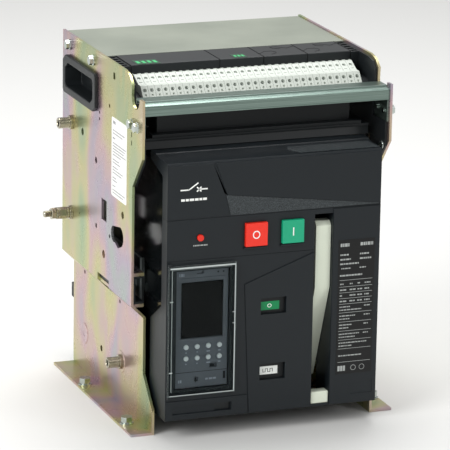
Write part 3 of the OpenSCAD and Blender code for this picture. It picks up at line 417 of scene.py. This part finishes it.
# ---- Foot of the end liner ----
# The black moulded liner inside each side plate runs on below the cross rail as a tapered
# foot, held by one large pan-head screw. Only its face and the screw show past the cover.
def push(bm, faces, along):
    """Gives flat faces a thickness along a vector in millimetres."""
    grown = bmesh.ops.extrude_face_region(bm, geom=faces)
    moved = [v for v in grown["geom"] if isinstance(v, bmesh.types.BMVert)]
    bmesh.ops.translate(bm, verts=moved, vec=Vector(along) * MM)
    bmesh.ops.recalc_face_normals(bm, faces=bm.faces)


def put_prism(bm, outline, along):
    """A closed outline of points in millimetres, pushed along a vector."""
    push(bm, [bm.faces.new([bm.verts.new(Vector(point) * MM) for point in outline])], along)


liner_face = 150.4
bm = bmesh.new()
for sign in (-1, 1):
    put_prism(bm, [(sign * liner_face, y, z) for y, z in
                   ((-142.5, 333.7), (-142.5, 330), (-114, 296), (-96, 296), (-96, 333.7))],
              (sign * 2.8, 0, 0))
drawn(bm, "liner_feet", nylon_black, "cradle", 0.4)
bm = bmesh.new()
for sign in (-1, 1):
    put_turned(bm, [(0, 5.2), (1.0, 5.0), (2.0, 4.0), (2.5, 2.4), (2.5, 1.6), (1.2, 1.5), (1.2, 0.01)],
               (sign * liner_face, -133.5, 329.5), (-sign, 0, 0), 24)
drawn(bm, "liner_screws", screw_zinc, "cradle")

# ---- Accessory modules ----
# Four plug-in boxes of black nylon behind the terminals: one double and three single.
# Snap tabs are moulded in their lids, and two lids carry a green function label.
softened("aux_modules", nylon_black, 1.3, 3)
module_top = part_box("aux_modules")[1].z / MM


def put_block(bm, x, y, z):
    """A rectangular block from its ranges in millimetres."""
    centre = Vector(((x[0] + x[1]) / 2, (y[0] + y[1]) / 2, (z[0] + z[1]) / 2)) * MM
    size = ((x[1] - x[0]) * MM, (y[1] - y[0]) * MM, (z[1] - z[0]) * MM, 1)
    bmesh.ops.create_cube(bm, size=1, matrix=Matrix.Translation(centre) @ Matrix.Diagonal(size))


def put_path(bm, points, width, z, height):
    """A thin flat strip that follows points on the XY plane."""
    for a, b in zip(points, points[1:]):
        run = Vector((b[0] - a[0], b[1] - a[1], 0))
        middle = Vector(((a[0] + b[0]) / 2, (a[1] + b[1]) / 2, z))
        turn = Matrix.Rotation(math.atan2(run.y, run.x), 4, "Z")
        bmesh.ops.create_cube(bm, size=1, matrix=Matrix.Translation(middle * MM) @ turn @ Matrix.Diagonal(
            ((run.length + width) * MM, width * MM, height * MM, 1)))


# Painted shade: thin near-black strips on the lids trace the snap tabs' outlines and the joints between
# modules, standing for the shade in those slots and gaps.
snap_shade_paint = moulded("snap_tab_shadow", "#050607", 0.6)
bm = bmesh.new()
for left in (27.9, 83.8):
    put_path(bm, [(left + 1, -40.5), (left + 10, -31), (left + 19, -31.5), (left + 22.5, -37),
                  (left + 21, -43), (left + 14, -47.5)], 0.9, module_top + 0.05, 0.3)
    put_path(bm, [(left + 34, -22), (left + 25.5, -18), (left + 25, -11.5), (left + 33, -11.5),
                  (left + 43, -21), (left + 54.5, -13)], 0.9, module_top + 0.05, 0.3)
for joint in (-139.6, -27.95, 27.95, 83.85, 139.6):
    put_block(bm, (joint - 0.35, joint + 0.35), (-56.5, -2.6), (423.5, module_top + 0.12))
drawn(bm, "module_painted_shade_lines", snap_shade_paint, "cradle")

green_label = moulded("green_label_card", "#17402b", 0.3, 0.3, 0.01)
label_ink = moulded("light_green_label_ink", "#43b06f", 0.5, 0.3, 0.01)
card = (module_top - 0.4, module_top + 0.25)
cell = (module_top + 0.2, module_top + 0.4)
bm = bmesh.new()
put_block(bm, (-131.5, -101.5), (-56.0, -33.5), card)
put_block(bm, (-8.5, 8.5), (-54.5, -36.0), card)
drawn(bm, "module_labels", green_label, "cradle", 0.1)
bm = bmesh.new()
for i in range(4):
    put_block(bm, (-129 + i * 7, -125 + i * 7), (-51, -40), cell)
for i in range(3):
    put_block(bm, (-6.2 + i * 4.8, -3.4 + i * 4.8), (-50, -42), cell)
drawn(bm, "module_label_cells", label_ink, "cradle")

# ---- Terminal strip ----
# Thirty-two spring terminals of off-white nylon on two tiers. Each way has a round wire entry
# and a marker slot above, and a round entry with a square test socket below.
nylon_white = moulded("off_white_nylon", "#c6ccc4", 0.4, 0.4, 0.02, 0.04)
strip_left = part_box("terminal_strip")[0].x / MM
ways = 32
pitch = 8.66
way_gap = 0.25
way_centres = [strip_left + (i + 0.5) * pitch - 0.12 for i in range(ways)]
tier_low = (Vector((0, -101, 394)), Vector((0, -88, 410)))
tier_high = (Vector((0, -80.5, 410)), Vector((0, -63.5, 418)))
bm = bmesh.new()
put_prism(bm, [(strip_left, y, z) for y, z in
               ((-101, 394), (-88, 410), (-80.5, 410), (-63.5, 418), (-57.3, 418), (-57.3, 400.3),
                (-79.8, 400.3), (-99, 395))], (pitch - way_gap, 0, 0))
one_way = bm.verts[:] + bm.edges[:] + bm.faces[:]
for i in range(1, ways):
    copy = bmesh.ops.duplicate(bm, geom=one_way)
    bmesh.ops.translate(bm, verts=[v for v in copy["geom"] if isinstance(v, bmesh.types.BMVert)],
                        vec=(i * pitch * MM, 0, 0))
strip_mesh = bpy.data.meshes.new("terminal_ways")
bm.to_mesh(strip_mesh)
bm.free()
strip = bpy.data.objects.new("terminal_ways", strip_mesh)
bpy.context.scene.collection.objects.link(strip)


def on_tier(tier, share, x, sunk=0.0):
    """The frame of a point on a tier's slope, a share of the way up it; its Z faces outwards."""
    run = tier[1] - tier[0]
    out = Vector((0, -run.z, run.y)).normalized()
    spot = tier[0] + run * share + Vector((x, 0, 0)) - out * sunk
    return Matrix.Translation(spot * MM) @ out.to_track_quat("Z", "Y").to_matrix().to_4x4()


cut = bmesh.new()
for x in way_centres:
    for tier, entry, radius, slot, slot_size in ((tier_low, 0.7, 2.3, 0.39, (2.3, 2.5, 3.2)),
                                                 (tier_high, 0.6, 2.2, 0.2, (3.6, 0.9, 1.4))):
        bmesh.ops.create_cone(cut, cap_ends=True, segments=14, radius1=radius * MM,
                              radius2=radius * MM, depth=5 * MM, matrix=on_tier(tier, entry, x))
        bmesh.ops.create_cube(cut, size=1, matrix=on_tier(tier, slot, x) @ Matrix.Diagonal(
            [side * MM for side in slot_size] + [1]))
    put_block(cut, (x - 2.6, x + 2.6), (-103, -98.6), (392, 396.2))
    put_block(cut, (x - 2.4, x + 2.4), (-62.3, -55), (417.2, 420))
cut_mesh = bpy.data.meshes.new("cutters")
cut.to_mesh(cut_mesh)
cut.free()
cutter = bpy.data.objects.new("cutters", cut_mesh)
bpy.context.scene.collection.objects.link(cutter)
drill = strip.modifiers.new("holes", "BOOLEAN")
drill.operation = "DIFFERENCE"
drill.solver = "EXACT"
drill.object = cutter
bpy.context.view_layer.update()
drilled = bpy.data.meshes.new_from_object(strip.evaluated_get(bpy.context.evaluated_depsgraph_get()))
strip.modifiers.clear()
strip.data = drilled
drilled.name = "terminal_ways"
bpy.data.objects.remove(cutter)
finished(strip, nylon_white, "cradle", 0.18, 1)
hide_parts("terminal_strip")

# The spring clamps show as grey metal at the bottom of the wire entries.
clamp_steel = plain_metal("spring_clamp_steel", "#8d9490", 0.35)
bm = bmesh.new()
for x in way_centres:
    for tier, entry in ((tier_low, 0.7), (tier_high, 0.6)):
        bmesh.ops.create_cone(bm, cap_ends=True, segments=10, radius1=1.3 * MM, radius2=1.0 * MM,
                              depth=0.8 * MM, matrix=on_tier(tier, entry, x, 1.9))
drawn(bm, "terminal_clamps", clamp_steel, "cradle")

# ---- Front covers ----
# Two charcoal mouldings, upper and lower, with a spark-eroded grain and slightly rounded
# edges. The grain is too fine to see, and only dulls the highlights.
charcoal = moulded("charcoal_moulding", "#151b1f", 0.4, 0.35, 0.05, 0.07)
softened("upper_cover", charcoal, 0.7, 3)
softened("front_cover", charcoal, 0.7, 3)

# ---- Grained areas ----
# A wedge under the upper cover's raised panel and a patch on its roof are eroded several times
# deeper, with pimples about 0.9 mm apart. Their tops are painted lighter in the base colour as
# painted highlights, standing for light caught on single pimples, so the charcoal looks speckled.
coarse, tree = blank_material("coarse_grain_painted_highlights")
where = add(tree, "ShaderNodeTexCoord").outputs["Object"]
pimples = add(tree, "ShaderNodeTexNoise", [("Scale", 1 / (0.9 * MM)), ("Detail", 1.0)], [("Vector", where)])
# Painted highlights: the ramp below makes the high pimple tops lighter than the hollows.
pimple_highlight_paint = add(tree, "ShaderNodeValToRGB", links=[("Fac", pimples.outputs["Fac"])])
pimple_highlight_paint.color_ramp.elements[0].position = 0.42
pimple_highlight_paint.color_ramp.elements[0].color = linear("#202527")
pimple_highlight_paint.color_ramp.elements[1].position = 0.72
pimple_highlight_paint.color_ramp.elements[1].color = linear("#50575a")
depth = add(tree, "ShaderNodeBump", [("Strength", 0.7), ("Distance", 0.4 * MM)],
            [("Height", pimples.outputs["Fac"])])
rough_skin = add(tree, "ShaderNodeBsdfPrincipled", [("IOR", 1.4), ("Roughness", 0.45)],
                 [("Base Color", pimple_highlight_paint.outputs["Color"]), ("Normal", depth.outputs["Normal"])])
add(tree, "ShaderNodeOutputMaterial", links=[("Surface", rough_skin.outputs["BSDF"])])
trip_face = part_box("trip_unit")[0].y / MM
face = trip_face - 3
bm = bmesh.new()
put_prism(bm, [(x, face - 0.35, z) for x, z in
               ((-55.5, 269.4), (132.3, 269.4), (132.3, 270.0), (-59.6, 293.9), (-61.6, 293.9))],
          (0, 0.6, 0))
drawn(bm, "grained_wedge", coarse, "breaker")
bm = bmesh.new()
put_prism(bm, [(22, -151.6, 336.9), (27, -141, 337.4), (128.5, -141, 337.4), (131, -168.5, 336.6),
               (31, -168.5, 336.6)], (0, 0, 0.45))
drawn(bm, "grained_roof_patch", coarse, "breaker")

# ---- Printed switch symbol ----
# The upper cover carries a plain white wiring symbol for a circuit breaker, pad-printed: a
# line, an open contact and a cross, over one line of small print drawn as bars.
print_white = moulded("white_print", "#f4f6f2", 0.45, 0.3, 0.005, 0.02)


def put_stroke(bm, start, end, width, y):
    """A straight printed stroke on the front plane between two (x, z) points."""
    run = Vector((end[0] - start[0], 0, end[1] - start[1]))
    middle = Vector(((start[0] + end[0]) / 2, (y[0] + y[1]) / 2, (start[1] + end[1]) / 2))
    turn = Matrix.Rotation(-math.atan2(run.z, run.x), 4, "Y")
    bmesh.ops.create_cube(bm, size=1, matrix=Matrix.Translation(middle * MM) @ turn @ Matrix.Diagonal(
        ((run.length + width * 0.6) * MM, (y[1] - y[0]) * MM, width * MM, 1)))


bm = bmesh.new()
on_cover = (face - 0.82, face - 0.6)
for start, end in (((-118, 304), (-108, 304)), ((-108, 304), (-97, 311.5)), ((-95.5, 304), (-85.5, 304)),
                   ((-97.9, 306.4), (-93.1, 301.6)), ((-97.9, 301.6), (-93.1, 306.4))):
    put_stroke(bm, start, end, 1.6, on_cover)
for x, wide in ((-117.5, 4.6), (-111.9, 3.8), (-107.1, 5.6), (-100.5, 4.4), (-95.1, 3.6), (-90.5, 4.6)):
    put_block(bm, (x, x + wide), on_cover, (290.6, 293.4))
drawn(bm, "switch_symbol", print_white, "breaker")

# ---- Sills under the pushbuttons ----
# Small moulded ledges of the lower cover that keep a finger from slipping between the buttons.
off_x, on_x = -24, 22
bm = bmesh.new()
for x in (off_x, on_x):
    put_block(bm, (x - 15, x + 15), (face - 3.2, face + 0.5), (226.6, 229.6))
drawn(bm, "button_sills", charcoal, "breaker", 1.2, 4)

# ---- Pushbuttons ----
# Snap-in caps of coloured plastic, moulded with a slight gloss and printed with a white ring
# for off and a white bar for on.
signal_red = moulded("signal_red_plastic", "#f0311f", 0.34, 0.3, 0.01, 0.04, 0.2)
signal_green = moulded("signal_green_plastic", "#12a67b", 0.34, 0.3, 0.01, 0.04, 0.2)
softened("off_button", signal_red, 1.0, 3)
softened("on_button", signal_green, 1.0, 3)
softened("reset_button", moulded("reset_red_plastic", "#e32a18", 0.3, 0.3, 0.01, 0.04, 0.2), 0.7, 3)


def put_ring(bm, x, y, z, outer_x, outer_z, line):
    """A flat printed ring on a plane that faces the front."""
    put_turned(bm, [(0.0, outer_x), (0.12, outer_x), (0.12, outer_x - line), (0.0, outer_x - line)],
               (0, 0, 0), (0, -1, 0), 40)
    fresh = [v for v in bm.verts if not v.tag]
    for v in fresh:
        v.co = Vector((v.co.x + x * MM, v.co.y + y * MM, v.co.z * outer_z / outer_x + z * MM))
        v.tag = True


cap_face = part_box("off_button")[0].y / MM
bm = bmesh.new()
put_ring(bm, off_x - 0.6, cap_face, 244.4, 4.6, 4.9, 1.25)
drawn(bm, "off_symbol", print_white, "off_button")
bm = bmesh.new()
put_block(bm, (on_x - 0.8, on_x + 0.6), (cap_face - 0.12, cap_face), (239.6, 249.6))
drawn(bm, "on_symbol", print_white, "on_button")

# ---- Trip unit ----
# A blue-grey moulded case with a dark display window, eight round keys and a label strip.
# The display is a smoked acrylic window that sits half a millimetre deep in its bezel.
fascia = moulded("blue_grey_moulding", "#666a71", 0.42, 0.3, 0.02, 0.05)
softened("trip_unit", fascia, 0.4, 2)
smoked, tree = blank_material("smoked_acrylic")
where = add(tree, "ShaderNodeTexCoord").outputs["Object"]
smear = add(tree, "ShaderNodeTexNoise", [("Scale", 40.0), ("Detail", 4.0)], [("Vector", where)])
gloss = add(tree, "ShaderNodeMapRange", [("To Min", 0.05), ("To Max", 0.14)],
            [("Value", smear.outputs["Fac"])])
window = add(tree, "ShaderNodeBsdfPrincipled", [("Base Color", linear("#030304")), ("IOR", 1.25)],
             [("Roughness", gloss.outputs["Result"])])
add(tree, "ShaderNodeOutputMaterial", links=[("Surface", window.outputs["BSDF"])])
bm = bmesh.new()
put_block(bm, (-113.8, -62.2), (trip_face + 0.5, trip_face + 1.4), (123.2, 190.8))
drawn(bm, "trip_display", smoked, "breaker", 0.3)

key_grey = moulded("light_grey_key", "#eceff0", 0.38, 0.3, 0.01, 0.04)
for k in range(1, 9):
    softened("trip_key_%d" % k, key_grey, 0.8, 3)

bezel_ink = moulded("pale_fascia_print", "#a3a7b2", 0.5, 0.3, 0.005, 0.02)
groove_shade_paint = moulded("painted_groove_shade", "#15161a", 0.6, 0.3, 0.005, 0.02)
ink = trip_face - 0.08
key_x, key_z, key_pitch = -107.5, 112.1, 13.9
bm = bmesh.new()
for i in range(4):
    for j in range(2):
        x, z = key_x + i * key_pitch, key_z - j * key_pitch
        width = (1.6, 1.6, 4.4, 3.2)[i]
        put_block(bm, (x - width / 2, x + width / 2), (ink, trip_face), (z - 7.4, z - 6.0))
for x, z, w, h in ((-117, 200.6, 1.0, 3.6), (-115, 200.6, 2.4, 3.6), (-112, 200.6, 1.0, 3.6),
                   (-117, 70.6, 1.0, 3.4), (-115, 70.6, 2.2, 3.4),
                   (-83, 71.4, 3.2, 2.2), (-78.6, 71.4, 4.2, 2.2), (-73.6, 71.4, 4.0, 2.2)):
    put_block(bm, (x, x + w), (ink, trip_face), (z - h / 2, z + h / 2))
drawn(bm, "fascia_print", bezel_ink, "breaker")
# Painted shade: the near-black bars below stand for grooves in the fascia, drawn as flat dark print.
bm = bmesh.new()
put_block(bm, (-121, -56), (ink, trip_face), (81.0, 81.6))
put_block(bm, (-96, -94.6), (ink - 0.1, trip_face), (68.2, 75.4))
put_block(bm, (-61, -58), (ink, trip_face), (70, 79))
put_block(bm, (-116, -60), (ink, trip_face), (196.2, 196.6))
put_block(bm, (-77.5, -72), (ink - 0.2, trip_face), (86.4, 88.6))
for x in (-68.8, -62.2):
    put_block(bm, (x - 1, x + 1), (ink, trip_face), (200.6, 202.6))
drawn(bm, "fascia_groove_shade", groove_shade_paint, "breaker")

# ---- Trip unit door ----
# A clear polycarbonate lid, injection moulded, with a flat pane inside a heavy rounded rim.
# The pane is almost invisible, and the rim looks grey. The light its edges catch is painted on
# as pale glossy strips laid on the rim.
clear, tree = blank_material("clear_polycarbonate")
edge_on = add(tree, "ShaderNodeFresnel", [("IOR", 1.45)])
veil = add(tree, "ShaderNodeMapRange",
           [("From Min", 0.045), ("From Max", 1.0), ("To Min", 0.0), ("To Max", 0.8)],
           [("Value", edge_on.outputs["Fac"])])
through = add(tree, "ShaderNodeBsdfTransparent", [("Color", linear("#f7fafa"))])
glossy = add(tree, "ShaderNodeBsdfPrincipled", [("Base Color", linear("#c4cccb")), ("Roughness", 0.06),
                                                ("IOR", 1.45)])
pane = add(tree, "ShaderNodeMixShader", links=[("Fac", veil.outputs["Result"]), (1, through.outputs["BSDF"]),
                                               (2, glossy.outputs["BSDF"])])
add(tree, "ShaderNodeOutputMaterial", links=[("Surface", pane.outputs["Shader"])])
softened("trip_door", clear, 0.5, 3)

rim_glow, tree = blank_material("thick_polycarbonate_rim")
where = add(tree, "ShaderNodeTexCoord").outputs["Object"]
flow = add(tree, "ShaderNodeTexNoise", [("Scale", 70.0), ("Detail", 3.0)], [("Vector", where)])
milk = add(tree, "ShaderNodeMapRange", [("To Min", 0.4), ("To Max", 0.8)], [("Value", flow.outputs["Fac"])])
through = add(tree, "ShaderNodeBsdfTransparent", [("Color", linear("#e9eeee"))])
thick = add(tree, "ShaderNodeBsdfPrincipled",
            [("Base Color", linear("#a9b1af")), ("Roughness", 0.1), ("IOR", 1.5)])
rim_mix = add(tree, "ShaderNodeMixShader",
              links=[("Fac", milk.outputs["Result"]), (1, through.outputs["BSDF"]),
                     (2, thick.outputs["BSDF"])])
add(tree, "ShaderNodeOutputMaterial", links=[("Surface", rim_mix.outputs["Shader"])])


def put_frame(bm, x, y, z, wide):
    """A flat frame round a rectangle on the front plane, y[0] to y[1] deep."""
    corners = [bm.verts.new(Vector((u, y[1], v)) * MM) for u, v in
               ((x[0], z[0]), (x[1], z[0]), (x[1], z[1]), (x[0], z[1]))]
    inside = bm.faces.new(corners)
    bmesh.ops.inset_region(bm, faces=[inside], thickness=wide * MM, use_even_offset=True,
                           use_boundary=True)
    bmesh.ops.delete(bm, geom=[inside], context="FACES")
    push(bm, bm.faces[:], (0, y[0] - y[1], 0))


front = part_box("trip_door")[0].y / MM
bm = bmesh.new()
put_frame(bm, (-132.2, -48.8), (front - 0.5, front + 0.6), (55.3, 213.2), 4.4)
drawn(bm, "door_rim", rim_glow, "trip_door", 0.5, 3)
# Painted highlights: pale glossy strips on the rim's top, right side and bottom, with short bits on its
# sides, stand for light caught by the rounded rim.
rim_highlight_paint = moulded("painted_rim_highlight", "#b9c1c0", 0.12, 0.4, 0.01, 0.2)
bm = bmesh.new()
put_block(bm, (-131.2, -49.8), (front - 0.72, front - 0.5), (210.6, 212.6))
put_block(bm, (-51.0, -49.7), (front - 0.7, front - 0.5), (56.5, 211.0))
put_block(bm, (-130.8, -50.2), (front - 0.7, front - 0.5), (55.9, 56.9))
for z in (171, 84.5):
    put_block(bm, (-131.6, -127.4), (front - 0.72, front - 0.4), (z, z + 1.4))
for z in (139.5, 153):
    put_block(bm, (-53.2, -49.6), (front - 0.72, front - 0.4), (z, z + 1.0))
drawn(bm, "door_painted_highlights", rim_highlight_paint, "trip_door", 0.1)

# ---- Charging handle and block ----
# Pale cream plastic over a steel core: a long lever with generously rounded corners, and a
# small block of the same plastic at the foot of its slot.
cream = moulded("cream_moulding", "#e1e8d6", 0.4, 0.35, 0.02, 0.05)
softened("charging_handle", cream, 2.6, 5)
softened("slot_block", cream, 1.2, 3)

# ---- Status and charge flags ----
# Printed plates behind the two windows: a green plate with a ring while the breaker is open,
# a red one with a bar when it is closed, and a spring sign that is white or yellow.
flag_plate = moulded("black_flag_plate", "#121517", 0.5)
softened("status_flag", flag_plate, 0.3)
softened("charge_flag", flag_plate, 0.3)
flag_green = moulded("green_flag_print", "#128a52", 0.42, 0.3, 0.005, 0.04)
flag_red = moulded("red_flag_print", "#d9281a", 0.42, 0.3, 0.005, 0.04)
flag_white = moulded("white_flag_print", "#e9ece8", 0.42, 0.3, 0.005, 0.02)
flag_yellow = moulded("yellow_flag_print", "#e8b81c", 0.42, 0.3, 0.005, 0.04)
flag_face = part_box("status_flag")[0].y / MM
field_face = flag_face - 0.2
symbol_face = flag_face - 0.3
for name, ink_colour, body, x, z in (
    ("status_open_field", flag_green, "status_flag", (-16, 8.8), (149, 159.4)),
    ("status_closed_field", flag_red, "status_flag", (-16, 8.8), (127, 137.4)),
    ("charge_free_field", flag_white, "charge_flag", (-15.8, 8.2), (69.3, 79.3)),
    ("charge_ready_field", flag_yellow, "charge_flag", (-15.8, 8.2), (47.3, 57.3)),
):
    bm = bmesh.new()
    put_block(bm, x, (field_face, flag_face + 0.1), z)
    drawn(bm, name, ink_colour, body, 0.08)
bm = bmesh.new()
put_ring(bm, -3.6, field_face, 154.2, 2.7, 2.3, 0.8)
put_block(bm, (-4.1, -3.1), (symbol_face, field_face), (129.4, 135))
drawn(bm, "status_symbols", print_white, "status_flag")
bm = bmesh.new()
for base in (74.3, 52.3):
    for i in range(5):
        x = -10.6 + i * 3
        put_block(bm, (x, x + 0.7), (symbol_face, field_face), (base - 2.2, base + 2.2))
        if i < 4:
            rung = base + (1.6 if i % 2 else -2.2)
            put_block(bm, (x, x + 3.6), (symbol_face, field_face), (rung, rung + 0.6))
drawn(bm, "charge_symbols", flag_plate, "charge_flag")

# ---- Rating plate ----
# A black printed label on the right of the cover, with lines of pale print and ruled rows.
# The print is drawn as plain bars that stand for words and figures.
random.seed(7)
label_black = moulded("black_label_film", "#0b0c0d", 0.34, 0.5, 0.005, 0.03)
label_print = moulded("silver_label_print", "#a8acaa", 0.5, 0.3, 0.003, 0.02)
panel = face - 1.2
bm = bmesh.new()
put_block(bm, (81, 127.5), (panel - 0.25, panel), (61.5, 228))
drawn(bm, "rating_plate", label_black, "breaker", 0.1)


def put_words(bm, start, end, z, height, deep, shallow, letters=(1.2, 4.6)):
    """One line of print as bars of uneven length with gaps between them."""
    x = start
    while x < end - 0.8:
        w = min(random.uniform(*letters), end - x)
        put_block(bm, (x, x + w), (deep, shallow), (z - height / 2, z + height / 2))
        x += w + 0.75


bm = bmesh.new()
deep, shallow = panel - 0.34, panel - 0.2
for z, height, spans in (
    (221.5, 4.0, [(83.5, 96), (109, 125)]), (209.5, 1.9, [(83.5, 94), (108.5, 120)]),
    (203.8, 1.9, [(83.5, 97), (108.5, 123)]), (198.3, 1.8, [(83.5, 108)]),
    (192.7, 1.3, [(85, 97.5), (108.5, 116.5)]), (184, 1.9, [(83.5, 112)]),
    (173.5, 1.5, [(84, 88.5), (96.5, 100), (106.5, 109.5), (115.5, 124)]),
    (166.2, 1.6, [(84, 92), (96.5, 104), (106.5, 112.5), (115.5, 121.5)]),
    (159.2, 1.6, [(84, 88), (96.5, 104), (106.5, 112.5), (115.5, 122.5)]),
    (152.2, 1.6, [(84, 92.5), (96.5, 104), (106.5, 112.5), (115.5, 122.5)]),
    (145.2, 1.3, [(84, 98), (115.5, 123.5)]), (141.4, 1.3, [(84, 112)]),
    (134, 1.3, [(84, 105), (115.5, 123)]), (130.2, 1.3, [(84, 97)]),
    (122.8, 1.3, [(84, 100), (115.5, 122.5)]), (119, 1.3, [(84, 96)]),
    (111.5, 1.3, [(84, 110), (115, 122)]), (107.7, 1.3, [(84, 105)]),
    (100.5, 1.3, [(84, 121)]), (96.7, 1.3, [(84, 102)]), (84.5, 1.4, [(84, 115)]),
):
    for start, end in spans:
        put_words(bm, start, end, z, height, deep, shallow)
for z in (178.2, 170.0, 162.8, 155.7, 148.8, 138.0, 126.6, 115.3, 104.2, 93.2, 76.6):
    put_block(bm, (83.3, 125.2), (deep, shallow), (z - 0.22, z + 0.22))
for x, w in ((83.5, 2.8), (87, 2.8), (90.5, 2.6)):
    put_block(bm, (x, x + w), (deep, shallow), (65.5, 72))
drawn(bm, "rating_print", label_print, "breaker")
bm = bmesh.new()
put_ring(bm, 103.5, deep + 0.12, 68.8, 3.4, 3.4, 0.55)
put_ring(bm, 114.5, deep + 0.12, 68.8, 3.4, 3.4, 0.45)
drawn(bm, "rating_marks", label_print, "breaker")

# ---- Side label ----
# A white self-adhesive label on the left plate, printed with lines of grey text, which are
# drawn here as bars.
paper_white = moulded("white_label_paper", "#f3f3f1", 0.5, 0.5, 0.004, 0.02)
grey_ink = moulded("grey_label_ink", "#8f9094", 0.6, 0.3, 0.003, 0.02)
bm = bmesh.new()
put_block(bm, (upper_face - 0.22, upper_face), (-94, -39), (268, 364))
upright = [e for e in bm.edges if abs((e.verts[0].co - e.verts[1].co).normalized().x) > 0.9]
bmesh.ops.bevel(bm, geom=upright, offset=3 * MM, offset_type="OFFSET", segments=5, profile=0.5,
                affect="EDGES", material=-1)
drawn(bm, "side_label", paper_white, "cradle")


def put_side_words(bm, start, end, z, height):
    """One line of print on the left plate; it reads from back to front."""
    y = start
    while y > end + 0.8:
        w = min(random.uniform(1.5, 5.0), y - end)
        put_block(bm, (upper_face - 0.28, upper_face - 0.2), (y - w, y), (z - height / 2, z + height / 2))
        y -= w + 0.8


bm = bmesh.new()
for z, height, start, end in (
    (358, 3.6, -44, -53), (348.5, 1.2, -44, -86), (344.8, 1.2, -44, -78), (339, 1.8, -44, -52),
    (333, 1.2, -44, -90), (329.5, 1.2, -44, -88), (326, 1.2, -44, -84), (322.5, 1.2, -44, -90),
    (319, 1.2, -44, -72), (313, 1.2, -44, -66), (309.5, 1.2, -44, -70), (304, 1.2, -44, -62),
    (300.5, 1.2, -44, -80), (297, 1.2, -44, -76), (291, 1.2, -44, -58), (287.5, 1.2, -44, -60),
    (281, 1.2, -44, -54), (276, 1.2, -44, -88), (272.5, 1.2, -44, -82),
):
    put_side_words(bm, start, end, z, height)
drawn(bm, "side_label_print", grey_ink, "cradle")

# ---- Small print on the cover ----
# A short word under the reset button, drawn as small bars of pale print.
bm = bmesh.new()
put_words(bm, -101.5, -84, 236.2, 1.6, face - 0.08, face + 0.05, (1.0, 2.6))
drawn(bm, "reset_print", label_print, "breaker")

# ---- Terminals and contacts ----
# Flat bars of electrolytic copper. The parts that a busbar touches are silver-plated, the
# moving arms and fixed contacts are bare and slightly browned.
silver = plain_metal("silver_plated_copper", "#d6d3cb", 0.24, 1.0, 0.06, 35.0)
copper = plain_metal("bare_copper", "#c07048", 0.3, 1.0, 0.08, 45.0)
softened("rear_terminals", silver, 0.8, 2)
for node in ("upper_contacts", "lower_contacts", "moving_contacts"):
    softened(node, copper, 0.5, 2)
softened("contact_clusters", plain_metal("silvered_finger_copper", "#bb9468", 0.3), 0.3, 1)

# ---- Rails, carriage and shutters ----
# The extension rails are black phosphated steel. Straps and shoes are zinc-plated, and the
# safety shutters are sheets of yellow insulating laminate.
phosphate = plain_metal("black_phosphated_steel", "#33373a", 0.42, 0.7, 0.08, 50.0)
softened("left_rail", phosphate, 0.4, 2)
softened("right_rail", phosphate, 0.4, 2)
softened("carriage", plain_metal("dull_zinc_straps", "#8d9494", 0.4), 0.4, 2)
laminate = moulded("yellow_laminate", "#c99a2c", 0.45, 0.6, 0.03)
softened("upper_shutter", laminate, 0.4, 2)
softened("lower_shutter", laminate, 0.4, 2)
softened("base_plate", zinc_right, 0.4, 2)
softened("racking_shutter", nylon_black, 0.3, 2)

# ---- Mechanism and circuit inside ----
# Yellow-plated frame plates, a steel shaft and cam, a grey motor, taped coils, brown arc
# chutes and resin-cast transformers. They keep their CAD shape and get their real finish.
inner = {
    "mechanism_frame": plain_metal("yellow_zinc_frame", "#b9ae77", 0.38),
    "main_shaft": plain_metal("ground_shaft_steel", "#a5abab", 0.25),
    "charging_cam": plain_metal("hardened_cam_steel", "#878d8f", 0.3),
    "racking_screw": plain_metal("turned_screw_steel", "#abb0b0", 0.28),
    "closing_spring": plain_metal("oiled_spring_wire", "#5d6467", 0.33),
    "splitter_plates": plain_metal("plain_splitter_steel", "#969898", 0.4),
    "charging_motor": moulded("grey_motor_paint", "#4b5154", 0.36, 0.6, 0.03),
    "release_coils": moulded("varnished_coil_tape", "#6e2f28", 0.5, 0.8, 0.08),
    "arc_chutes": moulded("brown_arc_chute", "#57473a", 0.55, 0.6, 0.08),
    "current_transformers": moulded("grey_potting_resin", "#7b8884", 0.4, 0.6, 0.03),
    "drive_links": moulded("pale_insulating_laminate", "#d3c28f", 0.45, 0.5, 0.03),
}
for node, material in inner.items():
    mesh = frame["nodes"][node].data
    mesh.materials.clear()
    mesh.materials.append(material)
